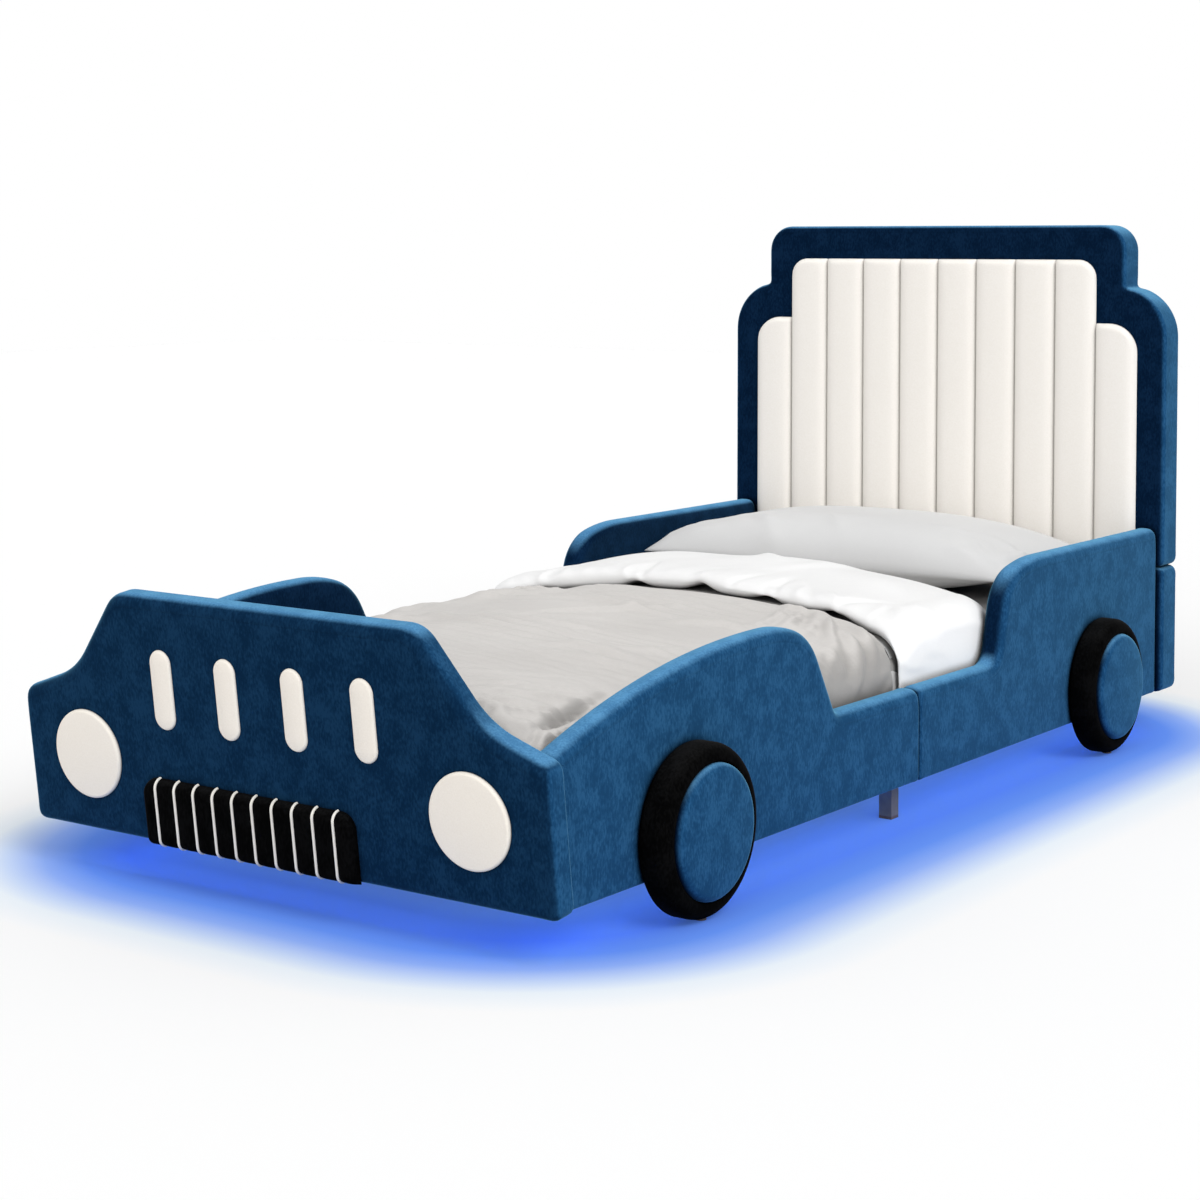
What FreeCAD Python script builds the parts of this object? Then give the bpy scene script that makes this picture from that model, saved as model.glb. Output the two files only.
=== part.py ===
import FreeCAD, Part

import math
import os
import re

import Sketcher

# Driving sizes of the bed, in millimetres, degrees and counts.
# The frame stands on the floor at z = 0 with the headboard towards +Y and the nose towards -Y.
SIZES = {
    # Mattress and the well that it lies in
    "mattress_width": 900,
    "mattress_length": 2000,
    "mattress_thickness": 150,
    "mattress_crown": 8,
    "mattress_edge_radius": 22,
    "mattress_side_gap": 20,
    "mattress_head_gap": 20,
    "mattress_foot_gap": 46,
    # Clearances
    "fit_gap": 0.3,
    "joint_gap": 0.5,
    "seam_gap": 1,
    # Boards and linings inside the upholstery
    "board_thickness": 18,
    "board_corner_radius": 6,
    "board_lift": 3,
    "lining_thickness": 1.5,
    "edge_padding": 12,
    # Side rails
    "rail_thickness": 45,
    "rail_bottom": 73,
    "rail_low_top": 236,
    "rail_edge_radius": 11,
    "rail_end_radius": 14,
    "seam_offset": 4,
    # Front hump of a rail
    "nose_top": 297,
    "hump_peak_from_foot": 593,
    "hump_peak_height": 403,
    "hump_shoulder_radius": 270,
    "hump_shoulder_angle": 17.5,
    "hump_drop_radius": 115,
    "hump_hollow_radius": 25,
    "hump_drop_angle": 60,
    # Rear wing of a rail
    "wing_length": 533,
    "wing_height": 418,
    "wing_shoulder_radius": 400,
    "wing_shoulder_angle": 14,
    "wing_drop_radius": 100,
    "wing_drop_angle": 76,
    "wing_hollow_radius": 40,
    # Leaning front panel
    "nose_lean": 7.14,
    "panel_bottom": 70,
    "panel_thickness": 42,
    "panel_overhang": 19,
    "panel_height": 400,
    "panel_edge_radius": 12,
    "panel_corner_radius": 14,
    "fender_width": 253,
    "bonnet_radius": 55,
    "bonnet_drop_angle": 52,
    "fender_hollow_radius": 150,
    "fender_slope": 19.5,
    "fender_edge_height": 222,
    "fender_corner_radius": 20,
    # Pads on the front panel
    "headlight_from_edge": 143.5,
    "headlight_height": 129,
    "headlight_radius": 73,
    "headlight_edge_radius": 10,
    "headlight_depth": 14,
    "headlight_crown": 4,
    "slot_count": 4,
    "slot_pitch": 137.4,
    "slot_bottom": 190,
    "slot_length": 128,
    "slot_width": 44,
    "slot_depth": 14,
    "slot_edge_radius": 9,
    "grille_centre": -46,
    "grille_clear": 99.5,
    "grille_height": 109,
    "grille_depth": 18,
    "grille_corner_radius": 26,
    "grille_edge_radius": 12,
    "piping_count": 10,
    "piping_margin": 24,
    "piping_radius": 2.4,
    # Headboard
    "headboard_thickness": 76,
    "headboard_split": 335.5,
    "headboard_overhang": 13,
    "shoulder_drop": 130,
    "shoulder_radius": 105,
    "shoulder_step": 91,
    "crown_height": 1050,
    "crown_radius": 55,
    "headboard_edge_radius": 12,
    "headboard_corner_radius": 16,
    "headboard_board": 52,
    "headboard_back_padding": 4,
    "channel_count": 10,
    "channel_border": 60.5,
    "channel_gap": 1.2,
    "channel_edge_depth": 5,
    "channel_depth": 14,
    "channel_rise": 12.5,
    "crown_border": 73,
    "shoulder_border": 77,
    "channel_top_radius": 40,
    "channel_outer_radius": 62,
    "outer_channels": 1,
    "join_plate_spread": 300,
    "join_plate_width": 40,
    "join_plate_height": 100,
    # Wheels
    "front_wheel_from_foot": 347,
    "rear_wheel_from_head": 297,
    "wheel_radius": 132.5,
    "tyre_thickness": 49,
    "tyre_edge_radius": 15,
    "hub_radius": 104,
    "hub_reach": 59,
    "hub_crown": 3,
    "hub_edge_radius": 14,
    "glide_radius": 9,
    "glide_height": 3,
    "wheel_screw_spread": 60,
    # Slatted base
    "ledger_width": 30,
    "ledger_height": 18,
    "ledger_top": 118,
    "ledger_end_gap": 60,
    "slat_count": 14,
    "slat_width": 68,
    "slat_thickness": 12,
    "slat_end_gap": 4,
    "strap_spread": 250,
    "strap_width": 30,
    "strap_thickness": 1.2,
    # Middle support
    "leg_width": 25,
    "leg_wall": 1.5,
    "leg_inset": 4,
    "leg_glide_height": 5,
    "leg_plate_length": 100,
    # Light strips along the foot of the frame
    "strip_height": 10,
    "strip_depth": 3,
    "strip_lift": 6,
    # Brackets, plates and screws
    "plate_thickness": 3,
    "bracket_flange": 60,
    "bracket_height": 85,
    "bracket_bottom": 140,
    "splice_length": 160,
    "splice_height": 60,
    "splice_bottom": 150,
    "screw_radius": 3,
    "screw_head_radius": 6,
    "screw_head_height": 3.5,
    "screw_length": 30,
    "screw_edge": 18,
    # Loose bedding
    "duvet_foot_overhang": 24,
    "duvet_pillow_gap": 148,
    "duvet_rail_gap": 4,
    "duvet_hang": 45.5,
    "duvet_thickness": 46.5,
    "duvet_crown": 30,
    "duvet_corner_radius": 30,
    "fold_length": 395,
    "fold_thickness": 20,
    "pillow_width": 830,
    "pillow_depth": 440,
    "pillow_waist": 22,
    "pillow_top_swell": 112,
    "pillow_bottom_swell": 40,
    "pillow_seam": 10,
    "pillow_head_gap": 26,
}

# Sizes that follow from the driving ones, written in the same words.
DERIVED = {
    "rail_inner": "mattress_width / 2 + mattress_side_gap",
    "rail_outer": "rail_inner + rail_thickness",
    "panel_half_width": "rail_outer + panel_overhang",
    "bonnet_half_width": "panel_half_width - fender_width",
    "headlight_spread": "panel_half_width - headlight_from_edge",
    "grille_width": "2 * (headlight_spread - headlight_radius - grille_clear)",
    "piping_pitch": "(grille_width - piping_margin) / piping_count",
    "headboard_half_width": "rail_outer + headboard_overhang",
    "crown_half_width": "headboard_half_width - shoulder_step",
    "shoulder_height": "crown_height - shoulder_drop",
    "inside_length": "mattress_foot_gap + mattress_length + mattress_head_gap",
    "nose_reach": "(slot_bottom + slot_length) * sin(nose_lean) + slot_depth * cos(nose_lean)",
    "foot_y": "(nose_reach - panel_thickness - inside_length - headboard_thickness) / 2",
    "head_y": "foot_y + panel_thickness + inside_length",
    "seam_y": "(foot_y + panel_thickness + head_y) / 2 + seam_offset",
    "panel_back": "foot_y + (panel_thickness + joint_gap) / cos(nose_lean)",
    "hump_y": "foot_y + hump_peak_from_foot",
    "wing_y": "head_y - wing_length",
    "rail_padding": "(rail_thickness - board_thickness) / 2",
    "headboard_padding": "headboard_thickness - headboard_board - headboard_back_padding",
    "panel_padding": "panel_thickness - board_thickness - lining_thickness",
    "wheel_z": "wheel_radius + glide_height",
    "slat_top": "ledger_top + slat_thickness",
    "slat_pitch": "(mattress_length - slat_width) / (slat_count - 1)",
    "mattress_y": "head_y - mattress_head_gap - mattress_length",
    "mattress_bottom": "slat_top + strap_thickness + fit_gap",
    "mattress_top": "mattress_bottom + mattress_thickness",
    "leg_x": "rail_inner - leg_inset - leg_width",
    "leg_top": "ledger_top - ledger_height - plate_thickness",
    "duvet_half": "rail_inner - duvet_rail_gap",
    "duvet_y": "mattress_y - duvet_foot_overhang",
    "duvet_drop": "mattress_top - duvet_hang",
    "duvet_edge_height": "mattress_top + duvet_thickness",
    "pillow_y": "head_y - channel_depth - pillow_head_gap - pillow_depth / 2",
    "duvet_length": "pillow_y - pillow_depth / 2 - duvet_pillow_gap - duvet_y",
    "channel_pitch": "2 * (headboard_half_width - channel_border) / channel_count",
    "channel_bottom": "headboard_split + channel_rise",
    "channel_top": "crown_height - crown_border",
    "channel_outer_top": "shoulder_height - shoulder_border",
    "channel_half": "channel_pitch * channel_count / 2",
    "channel_inner_half": "channel_half - channel_pitch * outer_channels",
}

SIDES = (("left", -1), ("right", 1))
FULL_TURN = 360

doc = FreeCAD.newDocument("kids_bed")
sheet = doc.addObject("Spreadsheet::Sheet", "Sizes")
for row, (alias, number) in enumerate(SIZES.items(), start=1):
    sheet.set(f"A{row}", alias.replace("_", " "))
    sheet.set(f"B{row}", str(number))
    sheet.setAlias(f"B{row}", alias)
doc.recompute()

nodes = []


def expand(words):
    """Turn size names into references to the sheet's cells."""

    def cell(match):
        name = match.group(0)
        if name in SIZES:
            return f"Sizes.{name}"
        if name in DERIVED:
            return f"({expand(DERIVED[name])})"
        return name

    return re.sub(r"[a-z][a-z_]*[a-z]", cell, str(words))


def value(words):
    """The number that an expression in size names gives now."""
    return float(sheet.evalExpression(expand(words)))


def bind(item, prop, words):
    item.setExpression(prop, expand(words))


def node(item, name):
    """Name a finished sub-part, which names its file too."""
    item.Label = name
    nodes.append(item)
    return item


def place(item, x="0", y="0", z="0"):
    bind(item, "Placement.Base.x", x)
    bind(item, "Placement.Base.y", y)
    bind(item, "Placement.Base.z", z)
    return item


def lean(item, x="0", height="0", forward="0"):
    """Place a piece on the leaning front panel: across, up the panel and out of its face."""
    item.Placement.Rotation = FreeCAD.Rotation(FreeCAD.Vector(1, 0, 0), value("nose_lean"))
    bind(item, "Placement.Rotation.Angle", "nose_lean * 1 deg")
    along = f"foot_y - ({height}) * sin(nose_lean) - ({forward}) * cos(nose_lean)"
    up = f"panel_bottom + ({height}) * cos(nose_lean) - ({forward}) * sin(nose_lean)"
    return place(item, x, along, up)


# Sketches, pads and turned pieces


def origin_plane(body, role):
    return next(feature for feature in body.Origin.OriginFeatures if feature.Role == role)


def arc_between(start, end, radius, turn):
    """The short arc from start to end, and whether the sketch stores it from its start."""
    middle = (start + end) / 2
    chord = end - start
    across = FreeCAD.Vector(-chord.y, chord.x, 0).normalize() * turn
    centre = middle + across * math.sqrt(max(radius**2 - (chord.Length / 2) ** 2, 0))
    circle = Part.Circle(centre, FreeCAD.Vector(0, 0, 1), radius)
    first, last = (start, end) if turn > 0 else (end, start)
    return Part.ArcOfCircle(circle, circle.parameter(first), circle.parameter(last)), turn > 0


def outline_sketch(body, role, corners, offset="0"):
    """A closed outline: each corner is x, y and the radius of the round edge that leaves it.

    A positive radius swells outwards, a negative one is a hollow, None is a straight edge.
    Corners run anticlockwise.
    """
    sketch = body.newObject("Sketcher::SketchObject", "Outline")
    sketch.AttachmentSupport = [(origin_plane(body, role), "")]
    sketch.MapMode = "FlatFace"
    bind(sketch, "AttachmentOffset.Base.z", offset)
    points = [FreeCAD.Vector(value(x), value(y), 0) for x, y, _ in corners]
    ends = []
    for index, (_, _, edge) in enumerate(corners):
        start = points[index]
        end = points[(index + 1) % len(points)]
        if edge is None:
            ends.append((sketch.addGeometry(Part.LineSegment(start, end)), 1, 2))
            continue
        turn = -1 if edge.startswith("-") else 1
        arc, forward = arc_between(start, end, value(edge.lstrip("-")), turn)
        ends.append((sketch.addGeometry(arc), 1, 2) if forward else (sketch.addGeometry(arc), 2, 1))
    for index, (x, y, edge) in enumerate(corners):
        geometry, first, last = ends[index]
        following, begin, _ = ends[(index + 1) % len(ends)]
        sketch.addConstraint(Sketcher.Constraint("Coincident", geometry, last, following, begin))
        for axis, words, line in (("X", x, -2), ("Y", y, -1)):
            place_now = value(words)
            if abs(place_now) < 1e-9:
                sketch.addConstraint(Sketcher.Constraint("PointOnObject", geometry, first, line))
                continue
            number = sketch.addConstraint(
                Sketcher.Constraint(f"Distance{axis}", -1, 1, geometry, first, place_now)
            )
            bind(sketch, f"Constraints[{number}]", words)
        if edge is not None:
            words = edge.lstrip("-")
            number = sketch.addConstraint(Sketcher.Constraint("Radius", geometry, value(words)))
            bind(sketch, f"Constraints[{number}]", words)
    return sketch


def pad(body, role, corners, depth, offset="0", reverse=False):
    feature = body.newObject("PartDesign::Pad", "Pad")
    feature.Profile = outline_sketch(body, role, corners, offset)
    bind(feature, "Length", depth)
    feature.Reversed = reverse
    body.Tip = feature
    return feature


def new_body(name):
    return doc.addObject("PartDesign::Body", name)


def pocket(body, role, corners, depth, offset="0", reverse=False):
    """Cut a hollow and make sure that it took material away."""
    doc.recompute()
    before = body.Shape.Volume
    feature = body.newObject("PartDesign::Pocket", "Pocket")
    feature.Profile = outline_sketch(body, role, corners, offset)
    bind(feature, "Length", depth)
    feature.Reversed = reverse
    body.Tip = feature
    doc.recompute()
    if body.Shape.Volume > before - 1:
        raise RuntimeError(f"{body.Label}: the pocket cut nothing")
    return feature


def soften(body, radius, wanted):
    """Round the edges whose bounding box the test accepts."""
    doc.recompute()
    base = body.Tip
    names = [f"Edge{number}" for number, edge in enumerate(base.Shape.Edges, 1) if wanted(edge.BoundBox)]
    feature = body.newObject("PartDesign::Fillet", "Soften")
    feature.Base = (base, names)
    bind(feature, "Radius", radius)
    body.Tip = feature
    return feature


def flat_at(axis, words, tolerance=1e-4):
    """A test for edges that lie in the plane where the axis has that value."""
    place_now = value(words)

    def test(box):
        low = getattr(box, f"{axis}Min")
        high = getattr(box, f"{axis}Max")
        return abs(low - place_now) < tolerance and abs(high - place_now) < tolerance

    return test


def turned(name, corners, axis):
    """A body turned about its own X or Y axis from a profile in its XY plane."""
    body = new_body(name)
    sketch = outline_sketch(body, "XY_Plane", corners)
    feature = body.newObject("PartDesign::Revolution", "Turn")
    feature.Profile = sketch
    feature.ReferenceAxis = (sketch, ["H_Axis" if axis == "X" else "V_Axis"])
    feature.Angle = FULL_TURN
    body.Tip = feature
    return body


def box(name, x, y, z, length, width, height):
    item = doc.addObject("Part::Box", name)
    bind(item, "Length", length)
    bind(item, "Width", width)
    bind(item, "Height", height)
    return place(item, x, y, z)


def group(name, pieces):
    item = doc.addObject("Part::Compound", name)
    item.Links = pieces
    return node(item, name)


def cut(name, base, tools):
    if len(tools) > 1:
        tool = doc.addObject("Part::Compound", f"{name}_holes")
        tool.Links = tools
    else:
        tool = tools[0]
    item = doc.addObject("Part::Cut", name)
    item.Base = base
    item.Tool = tool
    return item


def fuse(name, first, second):
    item = doc.addObject("Part::Fuse", name)
    item.Base = first
    item.Tool = second
    return item


def rounded_rectangle(low_x, low_y, high_x, high_y, radius):
    """Anticlockwise outline of a rectangle with round corners."""
    return [
        (f"{low_x} + {radius}", low_y, None),
        (f"{high_x} - {radius}", low_y, radius),
        (high_x, f"{low_y} + {radius}", None),
        (high_x, f"{high_y} - {radius}", radius),
        (f"{high_x} - {radius}", high_y, None),
        (f"{low_x} + {radius}", high_y, radius),
        (low_x, f"{high_y} - {radius}", None),
        (low_x, f"{low_y} + {radius}", radius),
    ]


def mirrored(right):
    """Close a right half outline, which runs from bottom to top, with its mirror image."""
    left = []
    for index in range(len(right) - 1, -1, -1):
        x, y, _ = right[index]
        edge = right[index - 1][2] if index > 0 else None
        left.append((f"-({x})", y, edge))
    return right + left


# Screws: each has its shank, its head and the clearance hole through a plate


def screw_shape(turn, length):
    """A pan-head screw whose shank leaves the head along turn: +x, -x, +y, -y, +z or -z."""
    axes = {"x": FreeCAD.Vector(1, 0, 0), "y": FreeCAD.Vector(0, 1, 0), "z": FreeCAD.Vector(0, 0, 1)}
    direction = axes[turn[1]] * (1 if turn[0] == "+" else -1)
    seat = FreeCAD.Vector(0, 0, 0)
    shank = Part.makeCylinder(value("screw_radius"), value(length), seat, direction)
    head = Part.makeCylinder(value("screw_head_radius"), value("screw_head_height"), seat, direction * -1)
    return shank.fuse(head)


def screw(name, turn, x, y, z, length="screw_length"):
    item = doc.addObject("Part::Feature", name)
    item.Shape = screw_shape(turn, length)
    return place(item, x, y, z)


def leaning_screw(name, turn, x, height, forward):
    item = doc.addObject("Part::Feature", name)
    item.Shape = screw_shape(turn, "screw_length")
    return lean(item, x, height, forward)


def hole(name, axis, x, y, z):
    """A clearance hole through a plate, centred on the plate's seat."""
    item = doc.addObject("Part::Cylinder", name)
    bind(item, "Radius", "screw_radius + fit_gap")
    bind(item, "Height", "plate_thickness * 4")
    if axis == "x":
        item.Placement.Rotation = FreeCAD.Rotation(FreeCAD.Vector(0, 1, 0), 90)
        return place(item, f"{x} - plate_thickness * 2", y, z)
    if axis == "y":
        item.Placement.Rotation = FreeCAD.Rotation(FreeCAD.Vector(1, 0, 0), -90)
        return place(item, x, f"{y} - plate_thickness * 2", z)
    return place(item, x, y, f"{z} - plate_thickness * 2")


# Side rails


def drop(sign, y, z, shoulder_radius, shoulder_angle, drop_radius, drop_angle, hollow_radius, inset):
    """Corners down the round end of a hump, from its top to the low edge; sign is the way it falls."""
    across = f"({shoulder_radius} - {drop_radius}) * sin({shoulder_angle})"
    up = f"({shoulder_radius} - {drop_radius}) * cos({shoulder_angle})"
    centre_y = f"({across} + {drop_radius} * sin({drop_angle}))"
    centre_z = f"({z} - {shoulder_radius} + {up} + {drop_radius} * cos({drop_angle}))"
    fall = f"({centre_z} - rail_low_top - {hollow_radius} * (1 - cos({drop_angle})))"
    foot = f"({centre_y} + {fall} / tan({drop_angle}) + {hollow_radius} * sin({drop_angle}))"
    shift = "+" if sign > 0 else "-"
    shoulder = f"({shoulder_radius} - {inset})"
    drop_edge = f"({drop_radius} - {inset})"
    hollow = f"({hollow_radius} + {inset})"
    return [
        (y, f"{z} - {inset}", shoulder),
        (
            f"{y} {shift} {shoulder} * sin({shoulder_angle})",
            f"{z} - {shoulder_radius} + {shoulder} * cos({shoulder_angle})",
            drop_edge,
        ),
        (
            f"{y} {shift} ({across} + {drop_edge} * sin({drop_angle}))",
            f"{z} - {shoulder_radius} + {up} + {drop_edge} * cos({drop_angle})",
            None,
        ),
        (
            f"{y} {shift} ({foot} - {hollow} * sin({drop_angle}))",
            f"rail_low_top + {hollow_radius} - {hollow} * cos({drop_angle})",
            f"-{hollow}",
        ),
        (f"{y} {shift} {foot}", f"rail_low_top - {inset}", None),
    ]


# How far the top of a rail's nose drops for each millimetre that its outline shrinks
NOSE_INSET = 1.3


def front_rail_outline(inset, bottom, end_radius):
    """Front rail seen from +X: sketch x is along the bed, sketch y is up."""

    def nose(height):
        slope = f"tan(nose_lean) * ({height} - panel_bottom)"
        return f"(panel_back + {inset} / cos(nose_lean) - {slope})"

    nose_z = f"(nose_top - {inset} * {NOSE_INSET})"
    peak_z = f"(hump_peak_height - {inset})"
    run = f"(hump_y - {nose(nose_z)})"
    rise = f"({peak_z} - {nose_z})"
    bonnet = f"(({run} ^ 2 + {rise} ^ 2) / (2 * {rise}))"
    seam = f"(seam_y - seam_gap / 2 - {inset})"
    top = f"(rail_low_top - {inset})"
    falling = drop(
        1,
        "hump_y",
        "hump_peak_height",
        "hump_shoulder_radius",
        "hump_shoulder_angle",
        "hump_drop_radius",
        "hump_drop_angle",
        "hump_hollow_radius",
        inset,
    )
    falling.append((f"{seam} - {end_radius}", top, end_radius))
    falling.append((seam, f"{top} - {end_radius}", None))
    clockwise = [(nose(bottom), bottom, None), (nose(nose_z), nose_z, bonnet)] + falling
    clockwise.append((seam, bottom, None))
    return anticlockwise(clockwise)


def rear_rail_outline(inset, bottom, end_radius):
    """Rear rail seen from +X, from the seam to the headboard."""
    seam = f"(seam_y + seam_gap / 2 + {inset})"
    top = f"(rail_low_top - {inset})"
    tail = f"(head_y - joint_gap - {inset})"
    falling = drop(
        -1,
        "wing_y",
        "wing_height",
        "wing_shoulder_radius",
        "wing_shoulder_angle",
        "wing_drop_radius",
        "wing_drop_angle",
        "wing_hollow_radius",
        inset,
    )
    anti = [(seam, bottom, None), (tail, bottom, None)]
    anti.append((tail, f"wing_height - {inset} - {end_radius}", end_radius))
    anti.append((f"{tail} - {end_radius}", f"wing_height - {inset}", None))
    anti += falling
    anti.append((f"{seam} + {end_radius}", top, end_radius))
    anti.append((seam, f"{top} - {end_radius}", None))
    return anti


def anticlockwise(clockwise):
    """Turn a clockwise outline round; each edge keeps its own radius."""
    count = len(clockwise)
    turned_round = []
    for index in range(count - 1, -1, -1):
        x, y, _ = clockwise[index]
        turned_round.append((x, y, clockwise[(index - 1) % count][2]))
    return turned_round


def rail(side, sign, part, outline):
    """One upholstered rail: the velvet jacket, open underneath, and the board inside it."""
    inner = "rail_inner" if sign > 0 else "-rail_outer"
    jacket = new_body(f"{side}_{part}_rail_jacket")
    pad(jacket, "YZ_Plane", outline("0", "rail_bottom", "rail_end_radius"), "rail_thickness")
    hollow = outline("edge_padding", "(rail_bottom - board_lift)", "board_corner_radius")
    hollow_width = "board_thickness + fit_gap * 2"
    pocket(jacket, "YZ_Plane", hollow, hollow_width, "rail_padding - fit_gap", reverse=True)
    low = value("rail_bottom")

    def long_edge(box_):
        on_face = flat_at("X", "0")(box_) or flat_at("X", "rail_thickness")(box_)
        return on_face and box_.ZMax > low + 1 and not end_edge(box_)

    def end_edge(box_):
        end = "panel_back" if part == "front" else "head_y - joint_gap"
        limit = value(end)
        return box_.YMax < limit + 1 if part == "front" else box_.YMin > limit - 1

    soften(jacket, "rail_edge_radius", long_edge)
    node(place(jacket, inner), f"{side}_{part}_rail_jacket")
    core = new_body(f"{side}_{part}_rail_board")
    outline_inside = outline("(edge_padding + fit_gap)", "(rail_bottom + board_lift)", "board_corner_radius")
    pad(core, "YZ_Plane", outline_inside, "board_thickness")
    node(place(core, f"{inner} + rail_padding"), f"{side}_{part}_rail_board")


for side, sign in SIDES:
    rail(side, sign, "front", front_rail_outline)
    rail(side, sign, "rear", rear_rail_outline)

# Front panel: leaning board under a padded velvet jacket


def panel_outline(inset, corner, fender_corner):
    """Bonnet and fenders seen from the front: sketch x across, sketch y up the panel."""
    half = f"(panel_half_width - {inset})"
    edge_top = f"(fender_edge_height + {inset} * tan(fender_slope) - {inset} / cos(fender_slope))"
    bonnet = f"(bonnet_radius - {inset})"
    drop_x = f"(bonnet_half_width + {bonnet} * sin(bonnet_drop_angle))"
    drop_y = f"(panel_height - bonnet_radius + {bonnet} * cos(bonnet_drop_angle))"
    steep = "tan(bonnet_drop_angle)"
    gentle = "tan(fender_slope)"
    meet_x = f"(({drop_y} + {steep} * {drop_x} - {edge_top} - {gentle} * {half}) / ({steep} - {gentle}))"
    meet_y = f"({edge_top} + {gentle} * ({half} - {meet_x}))"
    hollow = f"(fender_hollow_radius + {inset})"
    reach = f"({hollow} * tan((bonnet_drop_angle - fender_slope) / 2))"
    turn = f"({fender_corner} * tan((90 - fender_slope) / 2))"
    right = [
        (f"{half} - {corner}", inset, corner),
        (half, f"{inset} + {corner}", None),
        (half, f"{edge_top} - {turn}", fender_corner),
        (f"{half} - {turn} * cos(fender_slope)", f"{edge_top} + {turn} * sin(fender_slope)", None),
        (f"{meet_x} + {reach} * cos(fender_slope)", f"{meet_y} - {reach} * sin(fender_slope)", f"-{hollow}"),
        (
            f"{meet_x} - {reach} * cos(bonnet_drop_angle)",
            f"{meet_y} + {reach} * sin(bonnet_drop_angle)",
            None,
        ),
        (drop_x, drop_y, bonnet),
        ("bonnet_half_width", f"panel_height - {inset}", None),
    ]
    return mirrored(right)


panel_jacket = new_body("front_panel_jacket")
pad(panel_jacket, "XZ_Plane", panel_outline("0", "panel_corner_radius", "fender_corner_radius"),
    "panel_thickness", reverse=True)
panel_hollow = panel_outline("edge_padding", "board_corner_radius", "board_corner_radius")
pocket(panel_jacket, "XZ_Plane", panel_hollow, "board_thickness + lining_thickness",
       "-panel_thickness", reverse=True)
soften(panel_jacket, "panel_edge_radius", flat_at("Y", "0"))
node(lean(panel_jacket), "front_panel_jacket")

panel_inside = panel_outline("(edge_padding + fit_gap)", "board_corner_radius", "board_corner_radius")
panel_board = new_body("front_panel_board")
pad(panel_board, "XZ_Plane", panel_inside, "board_thickness", "-panel_padding", reverse=True)
node(lean(panel_board), "front_panel_board")
panel_lining = new_body("front_panel_lining")
lining_place = "-(panel_padding + board_thickness)"
pad(panel_lining, "XZ_Plane", panel_inside, "lining_thickness", lining_place, reverse=True)
node(lean(panel_lining), "front_panel_lining")

# Pads sewn to the front panel

for side, sign in SIDES:
    depth = "headlight_depth"
    profile = [
        ("0", "0", None),
        ("0", f"-({depth} + headlight_crown)", "(headlight_radius ^ 2 / (2 * headlight_crown))"),
        ("headlight_radius - headlight_edge_radius", f"-{depth}", "headlight_edge_radius"),
        ("headlight_radius", f"headlight_edge_radius - {depth}", None),
        ("headlight_radius", "0", None),
    ]
    headlight = turned(f"{side}_headlight_pad", profile, "Y")
    node(lean(headlight, f"{sign} * headlight_spread", "headlight_height"), f"{side}_headlight_pad")

slots = []
for number in range(int(value("slot_count"))):
    slot = new_body(f"hood_slot_{number + 1}")
    outline = rounded_rectangle(
        "(-slot_width / 2)", "0", "slot_width / 2", "slot_length", "(slot_width / 2 - fit_gap)"
    )
    pad(slot, "XZ_Plane", outline, "slot_depth")
    soften(slot, "slot_edge_radius", flat_at("Y", "-slot_depth"))
    slots.append(lean(slot, f"slot_pitch * ({number} - (slot_count - 1) / 2)", "slot_bottom"))
group("hood_slot_pads", slots)

grille = new_body("grille_pad")
grille_outline = [
    ("(-grille_width / 2)", "0", None),
    ("grille_width / 2", "0", None),
    ("grille_width / 2", "grille_height - grille_corner_radius", "grille_corner_radius"),
    ("grille_width / 2 - grille_corner_radius", "grille_height", None),
    ("grille_corner_radius - grille_width / 2", "grille_height", "grille_corner_radius"),
    ("(-grille_width / 2)", "grille_height - grille_corner_radius", None),
]
pad(grille, "XZ_Plane", grille_outline, "grille_depth")
soften(grille, "grille_edge_radius", flat_at("Y", "-grille_depth"))
node(lean(grille, "grille_centre"), "grille_pad")


def piping_cord(number):
    """One cord down the grille: straight on its face and bent over its top and bottom edges."""
    radius = value("piping_radius")
    stand_off = radius + value("fit_gap")
    bend = value("grille_edge_radius") + stand_off
    face = -(value("grille_depth") + stand_off)
    high = value("grille_height") + stand_off
    low = -stand_off
    middle = bend * (1 - math.sqrt(0.5))
    turn_in = face + bend
    path = Part.Wire([
        Part.LineSegment(FreeCAD.Vector(0, -radius, high), FreeCAD.Vector(0, turn_in, high)).toShape(),
        Part.Arc(
            FreeCAD.Vector(0, turn_in, high),
            FreeCAD.Vector(0, face + middle, high - middle),
            FreeCAD.Vector(0, face, high - bend),
        ).toShape(),
        Part.LineSegment(FreeCAD.Vector(0, face, high - bend), FreeCAD.Vector(0, face, low + bend)).toShape(),
        Part.Arc(
            FreeCAD.Vector(0, face, low + bend),
            FreeCAD.Vector(0, face + middle, low + middle),
            FreeCAD.Vector(0, turn_in, low),
        ).toShape(),
    ])
    ring = Part.Circle(FreeCAD.Vector(0, -radius, high), FreeCAD.Vector(0, 1, 0), radius)
    tube = path.makePipeShell([Part.Wire(ring.toShape())], True, False)
    offset = value("piping_pitch") * (number - (value("piping_count") - 1) / 2)
    return tube.translated(FreeCAD.Vector(offset, 0, 0))


piping = doc.addObject("Part::Feature", "grille_piping")
piping.Shape = Part.Compound([piping_cord(number) for number in range(int(value("piping_count")))])
node(lean(piping, "grille_centre"), "grille_piping")

# Headboard: an upper and a lower upholstered panel


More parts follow.
